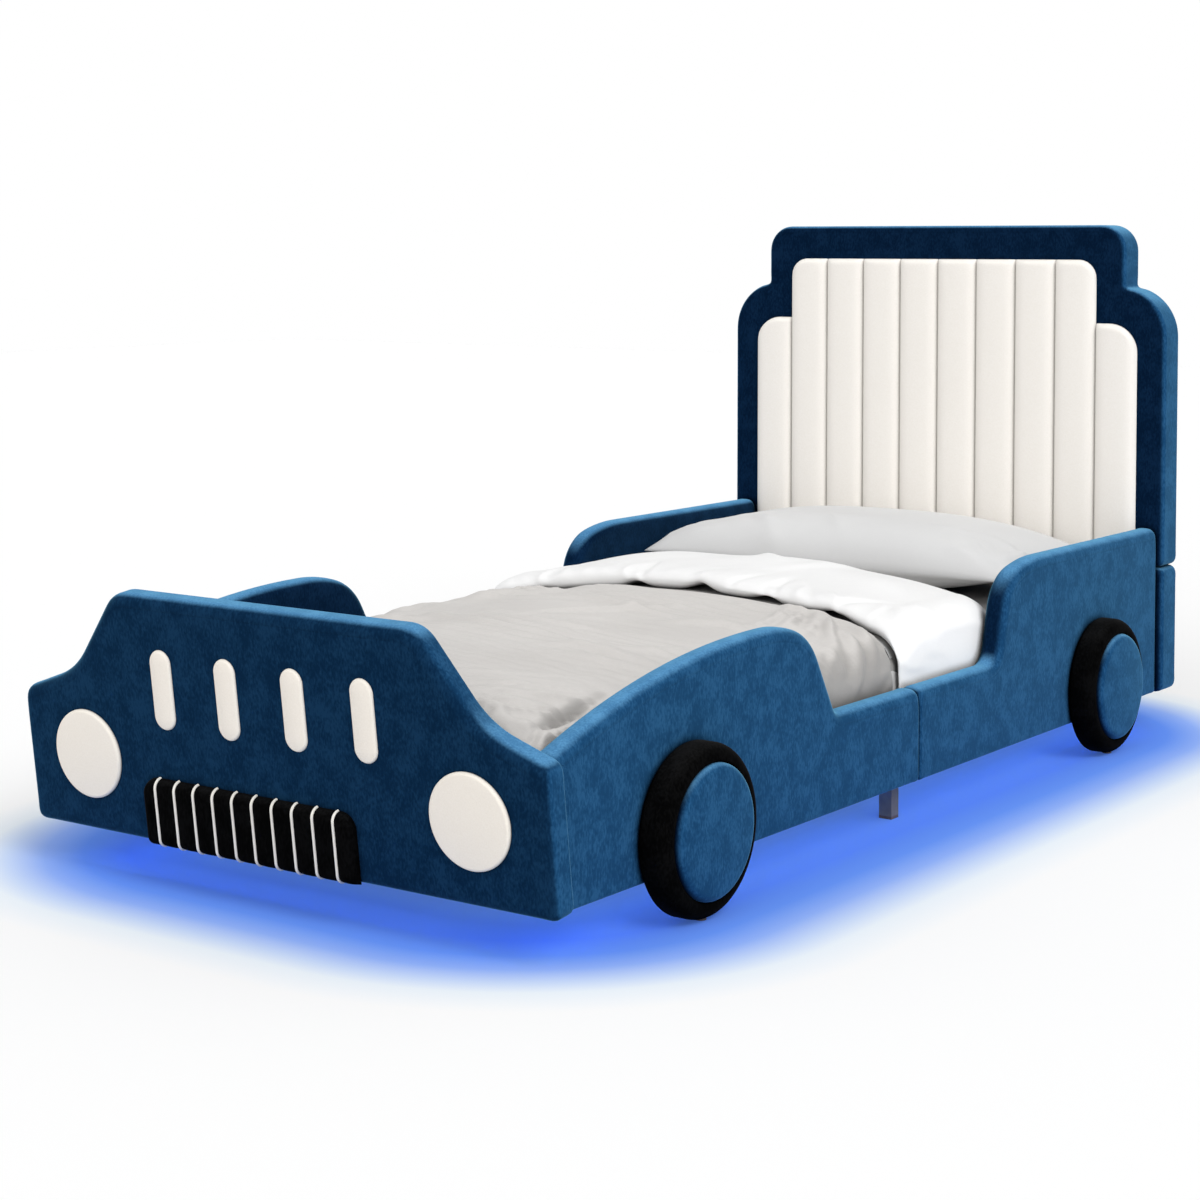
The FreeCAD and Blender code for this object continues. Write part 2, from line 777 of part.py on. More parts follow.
def headboard_outline(inset, corner):
    """Shoulders and crown seen from the front."""
    half = f"(headboard_half_width - {inset})"
    crown = f"(crown_half_width - {inset})"
    low = f"(headboard_split + seam_gap / 2 + {inset})"
    shoulder = f"(shoulder_radius - {inset})"
    across = f"({crown} - headboard_half_width + shoulder_radius)"
    right = [
        (f"{half} - {corner}", low, corner),
        (half, f"{low} + {corner}", None),
        (half, "shoulder_height - shoulder_radius", shoulder),
        (crown, f"shoulder_height - shoulder_radius + sqrt({shoulder} ^ 2 - {across} ^ 2)", None),
        (crown, "crown_height - crown_radius", f"(crown_radius - {inset})"),
        ("crown_half_width - crown_radius", f"crown_height - {inset}", None),
    ]
    return mirrored(right)


def lower_outline(inset, corner):
    return rounded_rectangle(
        f"({inset} - headboard_half_width)",
        f"(rail_bottom + {inset})",
        f"(headboard_half_width - {inset})",
        f"(headboard_split - seam_gap / 2 - {inset})",
        corner,
    )


def headboard_panel(name, outline):
    """Velvet jacket, the board in it and the lining that closes its back."""
    jacket = new_body(f"{name}_jacket")
    pad(jacket, "XZ_Plane", outline("0", "headboard_corner_radius"), "headboard_thickness", reverse=True)
    pocket(jacket, "XZ_Plane", outline("edge_padding", "board_corner_radius"),
           "headboard_board + headboard_back_padding", "-headboard_thickness", reverse=True)
    soften(jacket, "headboard_edge_radius", flat_at("Y", "0"))
    node(place(jacket, y="head_y"), f"{name}_jacket")
    inside = outline("(edge_padding + fit_gap)", "board_corner_radius")
    board = new_body(f"{name}_board")
    pad(board, "XZ_Plane", inside, "headboard_board", "-headboard_padding", reverse=True)
    node(place(board, y="head_y"), f"{name}_board")
    lining = new_body(f"{name}_lining")
    pad(lining, "XZ_Plane", inside, "headboard_back_padding",
        "-(headboard_padding + headboard_board)", reverse=True)
    node(place(lining, y="head_y"), f"{name}_lining")


headboard_panel("headboard", headboard_outline)
headboard_panel("headboard_lower", lower_outline)

# Channel-stitched cream pad on the headboard

channels = []
for number in range(int(value("channel_count"))):
    channel = new_body(f"headboard_channel_{number + 1}")
    half = "((channel_pitch - channel_gap) / 2)"
    swell = "(channel_depth - channel_edge_depth)"
    profile = [
        (f"-{half}", "0", None),
        (f"-{half}", "-channel_edge_depth", f"(({half} ^ 2 + {swell} ^ 2) / (2 * {swell}))"),
        (half, "-channel_edge_depth", None),
        (half, "0", None),
    ]
    pad(channel, "XY_Plane", profile, "channel_top - channel_bottom")
    across = f"channel_pitch * ({number} - (channel_count - 1) / 2)"
    channels.append(place(channel, across, "head_y", "channel_bottom"))
channel_row = doc.addObject("Part::Compound", "channel_row")
channel_row.Links = channels
channel_shape = new_body("channel_outline")
channel_right = [
    ("channel_half", "channel_bottom", None),
    ("channel_half", "channel_outer_top - channel_outer_radius", "channel_outer_radius"),
    ("channel_half - channel_outer_radius", "channel_outer_top", None),
    ("channel_inner_half", "channel_outer_top", None),
    ("channel_inner_half", "channel_top - channel_top_radius", "channel_top_radius"),
    ("channel_inner_half - channel_top_radius", "channel_top", None),
]
pad(channel_shape, "XZ_Plane", mirrored(channel_right), "channel_depth * 2")
place(channel_shape, y="head_y")
channel_pad = doc.addObject("Part::Common", "headboard_channels")
channel_pad.Base = channel_row
channel_pad.Tool = channel_shape
node(channel_pad, "headboard_channels")

# Steel plates that hold the two headboard panels together

join_plates = []
join_screws = []
for side, sign in SIDES:
    centre = f"({sign} * join_plate_spread)"
    plate = box(
        f"{side}_join_plate",
        f"{centre} - join_plate_width / 2",
        "head_y + headboard_thickness",
        "headboard_split - join_plate_height / 2",
        "join_plate_width",
        "plate_thickness",
        "join_plate_height",
    )
    holes = []
    for up in (-1, 1):
        height = f"headboard_split + {up} * (join_plate_height / 2 - screw_edge)"
        outside = "head_y + headboard_thickness + plate_thickness"
        holes.append(hole(f"{side}_join_hole", "y", centre, outside, height))
        join_screws.append(screw(f"{side}_join_screw", "-y", centre, outside, height))
    join_plates.append(cut(f"{side}_join_plate_drilled", plate, holes))
group("headboard_join_plates", join_plates)
group("headboard_join_screws", join_screws)

# Wheels: a board on the rail, a black tyre ring round it and a blue hub pad over it

WHEEL_PLACES = (
    ("front", "(foot_y + front_wheel_from_foot)"),
    ("rear", "(head_y - rear_wheel_from_head)"),
)
wheel_boards = []
wheel_glides = []
wheel_screws = []
for side, sign in SIDES:
    for part, centre_y in WHEEL_PLACES:
        name = f"{side}_{part}"
        seat = f"{sign} * (rail_outer + fit_gap)"
        outwards = FreeCAD.Rotation(FreeCAD.Vector(0, 0, 1), 0 if sign > 0 else 180)
        bore = "(hub_radius + fit_gap)"
        tyre = turned(
            f"{name}_tyre",
            [
                ("0", bore, None),
                ("tyre_thickness", bore, None),
                ("tyre_thickness", "wheel_radius - tyre_edge_radius", "tyre_edge_radius"),
                ("tyre_thickness - tyre_edge_radius", "wheel_radius", None),
                ("tyre_edge_radius", "wheel_radius", "tyre_edge_radius"),
                ("0", "wheel_radius - tyre_edge_radius", None),
            ],
            "X",
        )
        back = "(board_thickness + fit_gap)"
        flat = "(hub_radius - hub_edge_radius)"
        hub = turned(
            f"{name}_hub",
            [
                (back, "0", None),
                ("hub_reach + hub_crown", "0", f"(({flat} ^ 2 + hub_crown ^ 2) / (2 * hub_crown))"),
                ("hub_reach", flat, "hub_edge_radius"),
                ("hub_reach - hub_edge_radius", "hub_radius", None),
                (back, "hub_radius", None),
            ],
            "X",
        )
        for wheel_part, label in ((tyre, "tyre"), (hub, "hub")):
            wheel_part.Placement.Rotation = outwards
            node(place(wheel_part, seat, centre_y, "wheel_z"), f"{name}_{label}")
        disc = doc.addObject("Part::Cylinder", f"{name}_wheel_board")
        bind(disc, "Radius", "hub_radius")
        bind(disc, "Height", "board_thickness")
        disc.Placement.Rotation = FreeCAD.Rotation(FreeCAD.Vector(0, 1, 0), 90 * sign)
        wheel_boards.append(place(disc, seat, centre_y, "wheel_z"))
        glide = doc.addObject("Part::Cylinder", f"{name}_glide")
        bind(glide, "Radius", "glide_radius")
        bind(glide, "Height", "glide_height")
        middle = f"{sign} * (rail_outer + fit_gap + tyre_thickness / 2)"
        wheel_glides.append(place(glide, middle, centre_y))
        for step in (-1, 1):
            inside = f"{sign} * rail_inner"
            turn = "+x" if sign > 0 else "-x"
            along = f"{centre_y} + {step} * wheel_screw_spread"
            reach = "rail_thickness + board_thickness - plate_thickness"
            wheel_screws.append(screw(f"{name}_wheel_screw", turn, inside, along, "wheel_z", reach))
group("wheel_boards", wheel_boards)
group("wheel_screws", wheel_screws)
group("wheel_glides", wheel_glides)

# Slatted base: ledgers on the rails, slats on the ledgers, two webbing straps over the slats

LEDGER_SCREW_SHARES = (0.15, 0.5, 0.85)
ledger_screws = []
for side, sign in SIDES:
    for part in ("front", "rear"):
        if part == "front":
            start = "foot_y + ledger_end_gap"
            end = "seam_y - seam_gap / 2"
        else:
            start = "seam_y + seam_gap / 2"
            end = "head_y - ledger_end_gap / 2"
        low_x = "rail_inner - ledger_width" if sign > 0 else "-rail_inner"
        ledger = box(
            f"{side}_{part}_ledger",
            low_x,
            start,
            "ledger_top - ledger_height",
            "ledger_width",
            f"({end}) - ({start})",
            "ledger_height",
        )
        node(ledger, f"{side}_{part}_ledger")
        for share in LEDGER_SCREW_SHARES:
            along = f"{start} + {share} * (({end}) - ({start}))"
            inside = f"{sign} * (rail_inner - ledger_width)"
            turn = "+x" if sign > 0 else "-x"
            height = "ledger_top - ledger_height / 2"
            reach = "ledger_width + rail_padding + board_thickness / 2"
            ledger_screws.append(screw(f"{side}_{part}_ledger_screw", turn, inside, along, height, reach))
group("ledger_screws", ledger_screws)

slats = []
for number in range(int(value("slat_count"))):
    slats.append(
        box(
            f"slat_{number + 1}",
            "slat_end_gap - rail_inner",
            f"mattress_y + {number} * slat_pitch",
            "ledger_top",
            "2 * (rail_inner - slat_end_gap)",
            "slat_width",
            "slat_thickness",
        )
    )
group("slats", slats)

straps = [
    box(
        f"{side}_strap",
        f"{sign} * strap_spread - strap_width / 2",
        "mattress_y",
        "slat_top",
        "strap_width",
        "mattress_length",
        "strap_thickness",
    )
    for side, sign in SIDES
]
group("slat_straps", straps)

# Middle support: two square tube legs under the rail joints and the bar between them


def tube(name, x, y, z, length, width, height, hollow):
    """A square tube; hollow names the way it is open."""
    outside = box(f"{name}_outside", x, y, z, length, width, height)
    gaps = {axis: "0" if axis == hollow else "leg_wall" for axis in "xyz"}
    inside = box(
        f"{name}_inside",
        f"{x} + {gaps['x']}",
        f"{y} + {gaps['y']}",
        f"{z} + {gaps['z']}",
        f"{length} - 2 * {gaps['x']}",
        f"{width} - 2 * {gaps['y']}",
        f"{height} - 2 * {gaps['z']}",
    )
    return cut(name, outside, [inside])


leg_plates = []
leg_glides = []
leg_screws = []
leg_y = "(seam_y - leg_width / 2)"
for side, sign in SIDES:
    leg_low_x = "leg_x" if sign > 0 else "(-leg_x - leg_width)"
    leg = tube(
        f"{side}_mid_leg",
        leg_low_x,
        leg_y,
        "leg_glide_height",
        "leg_width",
        "leg_width",
        "(leg_top - leg_glide_height)",
        "z",
    )
    node(leg, f"{side}_mid_leg")
    leg_glide = box(f"{side}_leg_glide", leg_low_x, leg_y, "0", "leg_width", "leg_width", "leg_glide_height")
    leg_glides.append(leg_glide)
    plate_y = "(seam_y - leg_plate_length / 2)"
    plate = box(
        f"{side}_leg_plate", leg_low_x, plate_y, "leg_top", "leg_width", "leg_plate_length", "plate_thickness"
    )
    holes = []
    for step in (-1, 1):
        along = f"seam_y + {step} * (leg_plate_length / 2 - screw_edge)"
        across = f"{leg_low_x} + leg_width / 2"
        holes.append(hole(f"{side}_leg_hole", "z", across, along, "leg_top"))
        leg_screws.append(screw(f"{side}_leg_screw", "+z", across, along, "leg_top", "ledger_height"))
    leg_plates.append(cut(f"{side}_leg_plate_drilled", plate, holes))
group("leg_plates", leg_plates)
group("leg_screws", leg_screws)
group("leg_glides", leg_glides)
crossbar = tube(
    "mid_crossbar",
    "(-leg_x)",
    leg_y,
    "(leg_top - leg_width)",
    "(2 * leg_x)",
    "leg_width",
    "leg_width",
    "x",
)
node(crossbar, "mid_crossbar")

# Light strips stuck round the inside of the frame, just above its lower edge

strips = []
strip_z = "(rail_bottom + strip_lift)"
for side, sign in SIDES:
    low_x = "rail_inner - strip_depth" if sign > 0 else "-rail_inner"
    for part, start, end in (
        ("front", "foot_y + ledger_end_gap", "seam_y - seam_gap / 2"),
        ("rear", "seam_y + seam_gap / 2", "head_y - ledger_end_gap"),
    ):
        length = f"({end}) - ({start})"
        strips.append(
            box(f"{side}_{part}_strip", low_x, start, strip_z, "strip_depth", length, "strip_height")
        )
strip_half = "(rail_inner - ledger_end_gap)"
strip_length = f"2 * {strip_half}"
strip_back = "head_y - strip_depth"
strips.append(
    box("head_strip", f"-{strip_half}", strip_back, strip_z, strip_length, "strip_depth", "strip_height")
)
nose_strip = box("nose_strip", "0", "0", "0", strip_length, "strip_depth", "strip_height")
strips.append(lean(nose_strip, f"-{strip_half}", "board_corner_radius + edge_padding", "-panel_thickness"))
group("light_strips", strips)

# Corner brackets, splice plates and their screws

front_brackets = []
rear_brackets = []
corner_screws = []
splice_plates = []
splice_screws = []
for side, sign in SIDES:
    turn = "+x" if sign > 0 else "-x"
    wall_x = "rail_inner - plate_thickness" if sign > 0 else "-rail_inner"
    end_x = "rail_inner - bracket_flange" if sign > 0 else "-rail_inner"
    face_x = f"{sign} * (rail_inner - plate_thickness)"
    middle_x = f"{sign} * (rail_inner - bracket_flange / 2)"
    bracket_up = "((bracket_bottom - panel_bottom) / cos(nose_lean))"
    upright = ("screw_edge", "bracket_height - screw_edge")

    def leaning_plate(name, low_x, back, across, along):
        item = doc.addObject("Part::Box", name)
        bind(item, "Length", across)
        bind(item, "Width", along)
        bind(item, "Height", "bracket_height")
        return lean(item, low_x, bracket_up, f"-({back})")

    behind = "panel_thickness"
    on_panel = leaning_plate(f"{side}_front_flange", end_x, behind, "bracket_flange", "plate_thickness")
    on_rail = leaning_plate(f"{side}_front_wall", wall_x, behind, "plate_thickness", "bracket_flange")
    front = fuse(f"{side}_front_bracket", on_panel, on_rail)
    rear_low_y = "head_y - bracket_flange"
    on_head = box(
        f"{side}_rear_flange", end_x, "head_y - plate_thickness", "bracket_bottom",
        "bracket_flange", "plate_thickness", "bracket_height",
    )
    on_wing = box(
        f"{side}_rear_wall", wall_x, rear_low_y, "bracket_bottom",
        "plate_thickness", "bracket_flange", "bracket_height",
    )
    rear = fuse(f"{side}_rear_bracket", on_head, on_wing)
    front_holes = []
    rear_holes = []
    for rise in upright:
        height = f"bracket_bottom + {rise}"
        slant = f"{bracket_up} + {rise}"
        behind_plate = "-(panel_thickness + plate_thickness)"
        along = "-(panel_thickness + bracket_flange - screw_edge)"
        corner_screws.append(leaning_screw(f"{side}_panel_screw", "-y", middle_x, slant, behind_plate))
        corner_screws.append(leaning_screw(f"{side}_nose_screw", turn, face_x, slant, along))
        corner_screws.append(screw(f"{side}_head_screw", "+y", middle_x, "head_y - plate_thickness", height))
        wing_y = "head_y - bracket_flange + screw_edge"
        corner_screws.append(screw(f"{side}_wing_screw", turn, face_x, wing_y, height))
        rear_holes.append(hole(f"{side}_head_hole", "y", middle_x, "head_y", height))
        rear_holes.append(hole(f"{side}_wing_hole", "x", face_x, wing_y, height))
        for axis, across, back in (("y", middle_x, behind_plate), ("x", face_x, along)):
            drill = doc.addObject("Part::Feature", f"{side}_{axis}_drill")
            way = FreeCAD.Vector(0, 1, 0) if axis == "y" else FreeCAD.Vector(1, 0, 0)
            deep = value("plate_thickness * 2")
            drill.Shape = Part.makeCylinder(value("screw_radius + fit_gap"), deep * 2, way * -deep, way)
            front_holes.append(lean(drill, across, slant, back))
    front_brackets.append(cut(f"{side}_front_bracket_drilled", front, front_holes))
    rear_brackets.append(cut(f"{side}_rear_bracket_drilled", rear, rear_holes))
    splice = box(
        f"{side}_splice", wall_x, "seam_y - splice_length / 2", "splice_bottom",
        "plate_thickness", "splice_length", "splice_height",
    )
    splice_holes = []
    for step in (-1, 1):
        for rise in ("screw_edge", "splice_height - screw_edge"):
            along = f"seam_y + {step} * (splice_length / 2 - screw_edge)"
            height = f"splice_bottom + {rise}"
            splice_holes.append(hole(f"{side}_splice_hole", "x", face_x, along, height))
            splice_screws.append(screw(f"{side}_splice_screw", turn, face_x, along, height))
    splice_plates.append(cut(f"{side}_splice_drilled", splice, splice_holes))
group("front_corner_brackets", front_brackets)
group("rear_corner_brackets", rear_brackets)
group("corner_screws", corner_screws)
group("rail_splice_plates", splice_plates)
group("rail_splice_screws", splice_screws)

# Mattress with a crowned top


def crowned(half, low, high, crown, radius):
    """Cross-section of a soft slab: upright sides, round corners and a crowned top."""
    run = f"({half} - {radius})"
    return [
        (f"-({run})", low, None),
        (run, low, radius),
        (half, f"{low} + {radius}", None),
        (half, f"{high} - {radius}", radius),
        (run, high, f"(({run} ^ 2 + ({crown}) ^ 2) / (2 * ({crown})))"),
        (f"-({run})", high, radius),
        (f"-({half})", f"{high} - {radius}", None),
        (f"-({half})", f"{low} + {radius}", radius),
    ]


mattress = new_body("mattress")
mattress_section = crowned(
    "(mattress_width / 2)", "mattress_bottom", "mattress_top", "mattress_crown", "mattress_edge_radius"
)
pad(mattress, "XZ_Plane", mattress_section, "mattress_length", reverse=True)
node(place(mattress, y="mattress_y"), "mattress")

# Duvet: a crowned cover with sides that hang into the well, and its head end folded back double


def hood_section(half, drop_to, high, crown, radius, under_half, under_high, under_crown, under_radius):
    """Cross-section of cloth over the mattress: outside over the top, then back along the inside."""
    run = f"({half} - {radius})"
    under_run = f"({under_half} - {under_radius})"
    under_arch = f"-(({under_run} ^ 2 + ({under_crown}) ^ 2) / (2 * ({under_crown})))"
    return [
        (under_half, drop_to, None),
        (half, drop_to, None),
        (half, f"{high} - {radius}", radius),
        (run, high, f"(({run} ^ 2 + ({crown}) ^ 2) / (2 * ({crown})))"),
        (f"-({run})", high, radius),
        (f"-({half})", f"{high} - {radius}", None),
        (f"-({half})", drop_to, None),
        (f"-({under_half})", drop_to, None),
        (f"-({under_half})", f"{under_high} - {under_radius}", f"-{under_radius}"),
        (f"-({under_run})", under_high, under_arch),
        (under_run, under_high, f"-{under_radius}"),
        (under_half, f"{under_high} - {under_radius}", None),
    ]


duvet = new_body("duvet")
duvet_under = "(mattress_top + fit_gap * 2)"
duvet_section = hood_section(
    "duvet_half", "duvet_drop", "duvet_edge_height", "duvet_crown", "duvet_corner_radius",
    "(mattress_width / 2 + fit_gap * 4)", duvet_under, "mattress_crown", "mattress_edge_radius",
)
pad(duvet, "XZ_Plane", duvet_section, "duvet_length", reverse=True)
fold_section = crowned(
    "(duvet_half - fit_gap * 4)",
    "(duvet_edge_height - duvet_corner_radius / 2)",
    "(duvet_edge_height + fold_thickness)",
    "duvet_crown",
    "(fold_thickness / 2)",
)
pad(duvet, "XZ_Plane", fold_section, "fold_length", "-(duvet_length - fold_length)", reverse=True)
node(place(duvet, y="duvet_y"), "duvet")

# Pillow: swollen in the middle, drawn in between its corners


def pillow_section(across, depth, top, bottom):
    """Lens of two arcs in a plane across the pillow."""
    back = FreeCAD.Vector(across, depth / 2, 0)
    front = FreeCAD.Vector(across, -depth / 2, 0)
    upper = Part.Arc(front, FreeCAD.Vector(across, 0, top), back).toShape()
    lower = Part.Arc(back, FreeCAD.Vector(across, 0, -bottom), front).toShape()
    return Part.Wire([upper, lower])


PILLOW_STATIONS = (-1, -0.82, -0.5, 0, 0.5, 0.82, 1)
pillow = doc.addObject("Part::Feature", "pillow")
sections = []
for station in PILLOW_STATIONS:
    fullness = math.sqrt(1 - station**4)
    seam = value("pillow_seam") / 2
    depth = value("pillow_depth") - value("pillow_waist") * (1 - station**2) * 2
    top = seam + (value("pillow_top_swell") - seam) * fullness
    bottom = seam + (value("pillow_bottom_swell") - seam) * fullness
    sections.append(pillow_section(station * value("pillow_width") / 2, depth, top, bottom))
pillow.Shape = Part.makeLoft(sections, True, True)
pillow_z = "mattress_top + mattress_crown + pillow_bottom_swell + fit_gap"
node(place(pillow, y="pillow_y", z=pillow_z), "pillow")

doc.recompute()

# Nothing is written unless every object and every shape is sound
for item in doc.Objects:
    if "Invalid" in item.State or "Error" in item.State:
        raise RuntimeError(f"{item.Label} failed: {item.State}")
for item in nodes:
    if item.Shape.isNull() or not item.Shape.isValid():
        raise RuntimeError(f"{item.Label} has no sound shape")
os.makedirs("parts", exist_ok=True)
for item in nodes:
    item.Shape.exportStep(f"parts/{item.Label}.step")
    solids = len(item.Shape.Solids)
    print(f"{item.Label}: {solids} solids, {item.Shape.Volume / 1000:.0f} cm3")
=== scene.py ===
import math

import bmesh
import bpy
import numpy as np
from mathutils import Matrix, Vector
from mathutils.geometry import delaunay_2d_cdt
from mathutils.kdtree import KDTree


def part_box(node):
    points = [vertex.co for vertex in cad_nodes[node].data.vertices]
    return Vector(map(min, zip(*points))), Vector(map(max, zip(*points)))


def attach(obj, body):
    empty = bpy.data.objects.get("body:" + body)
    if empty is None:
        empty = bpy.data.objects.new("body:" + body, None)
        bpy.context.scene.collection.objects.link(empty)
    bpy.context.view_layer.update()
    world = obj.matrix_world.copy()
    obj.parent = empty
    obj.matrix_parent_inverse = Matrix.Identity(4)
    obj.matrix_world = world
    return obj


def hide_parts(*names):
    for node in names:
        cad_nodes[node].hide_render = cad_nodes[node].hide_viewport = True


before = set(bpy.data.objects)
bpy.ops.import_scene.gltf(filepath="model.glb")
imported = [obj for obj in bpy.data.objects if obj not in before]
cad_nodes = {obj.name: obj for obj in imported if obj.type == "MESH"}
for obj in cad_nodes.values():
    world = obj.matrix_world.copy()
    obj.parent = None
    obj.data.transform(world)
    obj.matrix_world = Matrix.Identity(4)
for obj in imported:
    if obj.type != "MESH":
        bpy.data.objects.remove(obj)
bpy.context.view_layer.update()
scene = bpy.context.scene

# Places on the bed, in metres
PANEL_FOOT_Y = -1.0653
PANEL_BOTTOM = 0.070
PANEL_LEAN = math.radians(7.14)
HEAD_FACE_Y = 1.0427
SIDES = {"left": -1.0, "right": 1.0}
ENDS = ("front", "rear")


# Materials

PILE_STOPS = (0.425, 0.5, 0.59)
CLOTH_STOPS = (0.3, 0.7)
GRAIN_STOPS = (0.35, 0.65)
OPEN_AIR = (0.25, 0.9)
WHITE = (1.0, 1.0, 1.0, 1.0)


def feed(made, inputs):
    """Give a shader node's inputs their fixed values, or links from other nodes."""
    for socket, value in inputs.items():
        if isinstance(value, bpy.types.NodeSocket):
            made.id_data.links.new(value, made.inputs[socket])
        else:
            made.inputs[socket].default_value = value


def shade(tree, kind, inputs, **settings):
    """The outputs of a new shader node."""
    made = tree.nodes.new(f"ShaderNode{kind}")
    for name, value in settings.items():
        setattr(made, name, value)
    feed(made, inputs)
    return made.outputs


def new_material(name, roughness, specular):
    """A material, its node tree and its shader."""
    material = bpy.data.materials.new(name)
    material.use_nodes = True
    shader = material.node_tree.nodes["Principled BSDF"]
    feed(shader, {"Roughness": roughness, "Specular IOR Level": specular})
    return material, material.node_tree, shader


def noise(tree, scale, detail, stretch=(1, 1, 1)):
    """Value of a noise pattern on the piece, stretched along the axes."""
    place = shade(tree, "TexCoord", {})["Object"]
    stretched = shade(tree, "Mapping", {"Vector": place, "Scale": stretch})["Vector"]
    return shade(tree, "TexNoise", {"Vector": stretched, "Scale": scale, "Detail": detail})["Fac"]


def mixed(tree, share, first, second, data_type="FLOAT"):
    """Two values, or two colours, with a share of the second."""
    return shade(tree, "Mix", {"Factor": share, "A": first, "B": second}, data_type=data_type)["Result"]


def ramp(tree, value, places, colours):
    """Colours spread over a value, each at its place."""
    made = tree.nodes.new("ShaderNodeValToRGB")
    elements = made.color_ramp.elements
    while len(elements) < len(places):
        elements.new(0.5)
    for element, place, colour in zip(elements, places, colours):
        element.position = place
        element.color = (*colour, 1.0)
    feed(made, {"Fac": value})
    return made.outputs["Color"]


def bump(tree, shader, height, strength, distance):
    relief = shade(tree, "Bump", {"Height": height, "Strength": strength, "Distance": distance})
    feed(shader, {"Normal": relief["Normal"]})


def facing(tree, axis, sign, limits, ends=(0.0, 1.0)):
    """How far a face looks along an axis, turned smoothly between two limits into a value between two ends.

    A sign of 0 takes both ways along the axis.
    """
    normal = shade(tree, "TexCoord", {})["Normal"]
    part = shade(tree, "SeparateXYZ", {"Vector": normal})[axis]
    operation = "MULTIPLY" if sign else "ABSOLUTE"
    turned = shade(tree, "Math", {0: part, 1: sign}, operation=operation)["Value"]
    spans = {"From Min": limits[0], "From Max": limits[1], "To Min": ends[0], "To Max": ends[1]}
    return shade(tree, "MapRange", {"Value": turned, **spans}, interpolation_type="SMOOTHSTEP")["Result"]


def rim(tree, sharpness):
    """How far a face is seen from its edge, for the painted highlight that stands in for the light that pile
    catches there.
    """
    weight = shade(tree, "LayerWeight", {"Blend": 0.5})["Facing"]
    return shade(tree, "Math", {0: weight, 1: sharpness}, operation="POWER")["Value"]


def dimmed(tree, colour, share):
    """A colour scaled by a value."""
    return shade(tree, "VectorMath", {0: colour, "Scale": share}, operation="SCALE")["Vector"]


def painted_crevice_shade(tree, colour, depth, share):
    """A colour with painted shade, darkened to a share of itself where other cloth stands close."""
    near = shade(tree, "AmbientOcclusion", {"Distance": depth}, samples=6)["AO"]
    spans = {"From Min": OPEN_AIR[0], "From Max": OPEN_AIR[1], "To Min": share}
    return dimmed(tree, colour, shade(tree, "MapRange", {"Value": near, **spans})["Result"])


def velvet(name, shaded, lit, top, edge, sheen, sign=0, turned=(0.2, 0.9), level=(0.45, 1.0)):
    """Short pile: brushed clouds and fine grain in each of three tones of painted light and shade, a painted
    highlight on the rim and painted shade where other parts stand close.

    Shaded is the painted shade for faces towards the head or foot, lit the painted light for those to the
    side, top the painted light for those that look up.
    Each holds three colours, from dark to light patches. The sign picks the side that is lit, 0 for both.
    Turned and level say between which slants the lit and the top tone come in.
    """
    material, tree, shader = new_material(name, roughness=0.9, specular=0.0)
    clouds = noise(tree, scale=26.0, detail=6.0)
    speckle = noise(tree, scale=300.0, detail=4.0, stretch=(1, 1, 0.45))
    brushed = mixed(tree, 0.55, clouds, speckle)
    # Painted light and shade: a face takes the shaded tone, the lit tone when it looks to the side and the
    # top tone when it looks up.
    tones = [ramp(tree, brushed, PILE_STOPS, colours) for colours in (shaded, lit, top)]
    upright = mixed(tree, facing(tree, "X", sign, turned), tones[0], tones[1], "RGBA")
    lit_and_shaded = mixed(tree, facing(tree, "Z", 1.0, level), upright, tones[2], "RGBA")
    # Painted highlight: faces seen edge-on are mixed towards the highlight colour.
    rim_highlighted = mixed(tree, rim(tree, sharpness=5.0), lit_and_shaded, (*edge, 1.0), "RGBA")
    feed(shader, {
        # Painted shade where other parts stand close.
        "Base Color": painted_crevice_shade(tree, rim_highlighted, depth=0.016, share=0.12),
        "Sheen Weight": sheen,
        "Sheen Roughness": 0.25,
        "Sheen Tint": (*edge, 1.0),
    })
    pile = noise(tree, scale=1200.0, detail=2.0)
    bump(tree, shader, mixed(tree, 0.5, pile, speckle), strength=0.4, distance=0.0008)
    return material


def plush(name, dark, light, sheen):
    """Pale short pile, even in tone, with a fine grain and painted shade where other parts stand close."""
    material, tree, shader = new_material(name, roughness=0.9, specular=0.05)
    grain = noise(tree, scale=420.0, detail=4.0)
    # Painted shade where other parts stand close.
    colour = painted_crevice_shade(tree, ramp(tree, grain, CLOTH_STOPS, (dark, light)), depth=0.012, share=0.45)
    feed(shader, {"Base Color": colour, "Sheen Weight": sheen, "Sheen Roughness": 0.4})
    bump(tree, shader, grain, strength=0.25, distance=0.0005)
    return material


def woven(name, dark, light, thread_scale, shadow=0.3, depth=0.035, side=1.0):
    """Plain woven cotton with a fine thread, faint tone changes, painted shade in creases and painted light
    and shade on upright sides.
    """
    material, tree, shader = new_material(name, roughness=0.9, specular=0.12)
    clouds = noise(tree, scale=5.0, detail=5.0)
    warp = noise(tree, thread_scale, detail=2.0, stretch=(1, 0.15, 1))
    weft = noise(tree, thread_scale, detail=2.0, stretch=(0.15, 1, 1))
    threads = mixed(tree, 0.5, warp, weft)
    colour = ramp(tree, mixed(tree, 0.4, clouds, threads), CLOTH_STOPS, (dark, light))
    # Painted light and shade on upright sides: their colour is scaled by the side share, darker below 1 and
    # lighter above.
    colour = dimmed(tree, colour, facing(tree, "X", 0, (0.25, 0.95), (1.0, side)))
    # Painted shade in creases and where other cloth stands close.
    colour = painted_crevice_shade(tree, colour, depth, shadow)
    feed(shader, {"Base Color": colour, "Sheen Weight": 0.15, "Sheen Roughness": 0.5})
    bump(tree, shader, threads, strength=0.3, distance=0.0006)
    return material


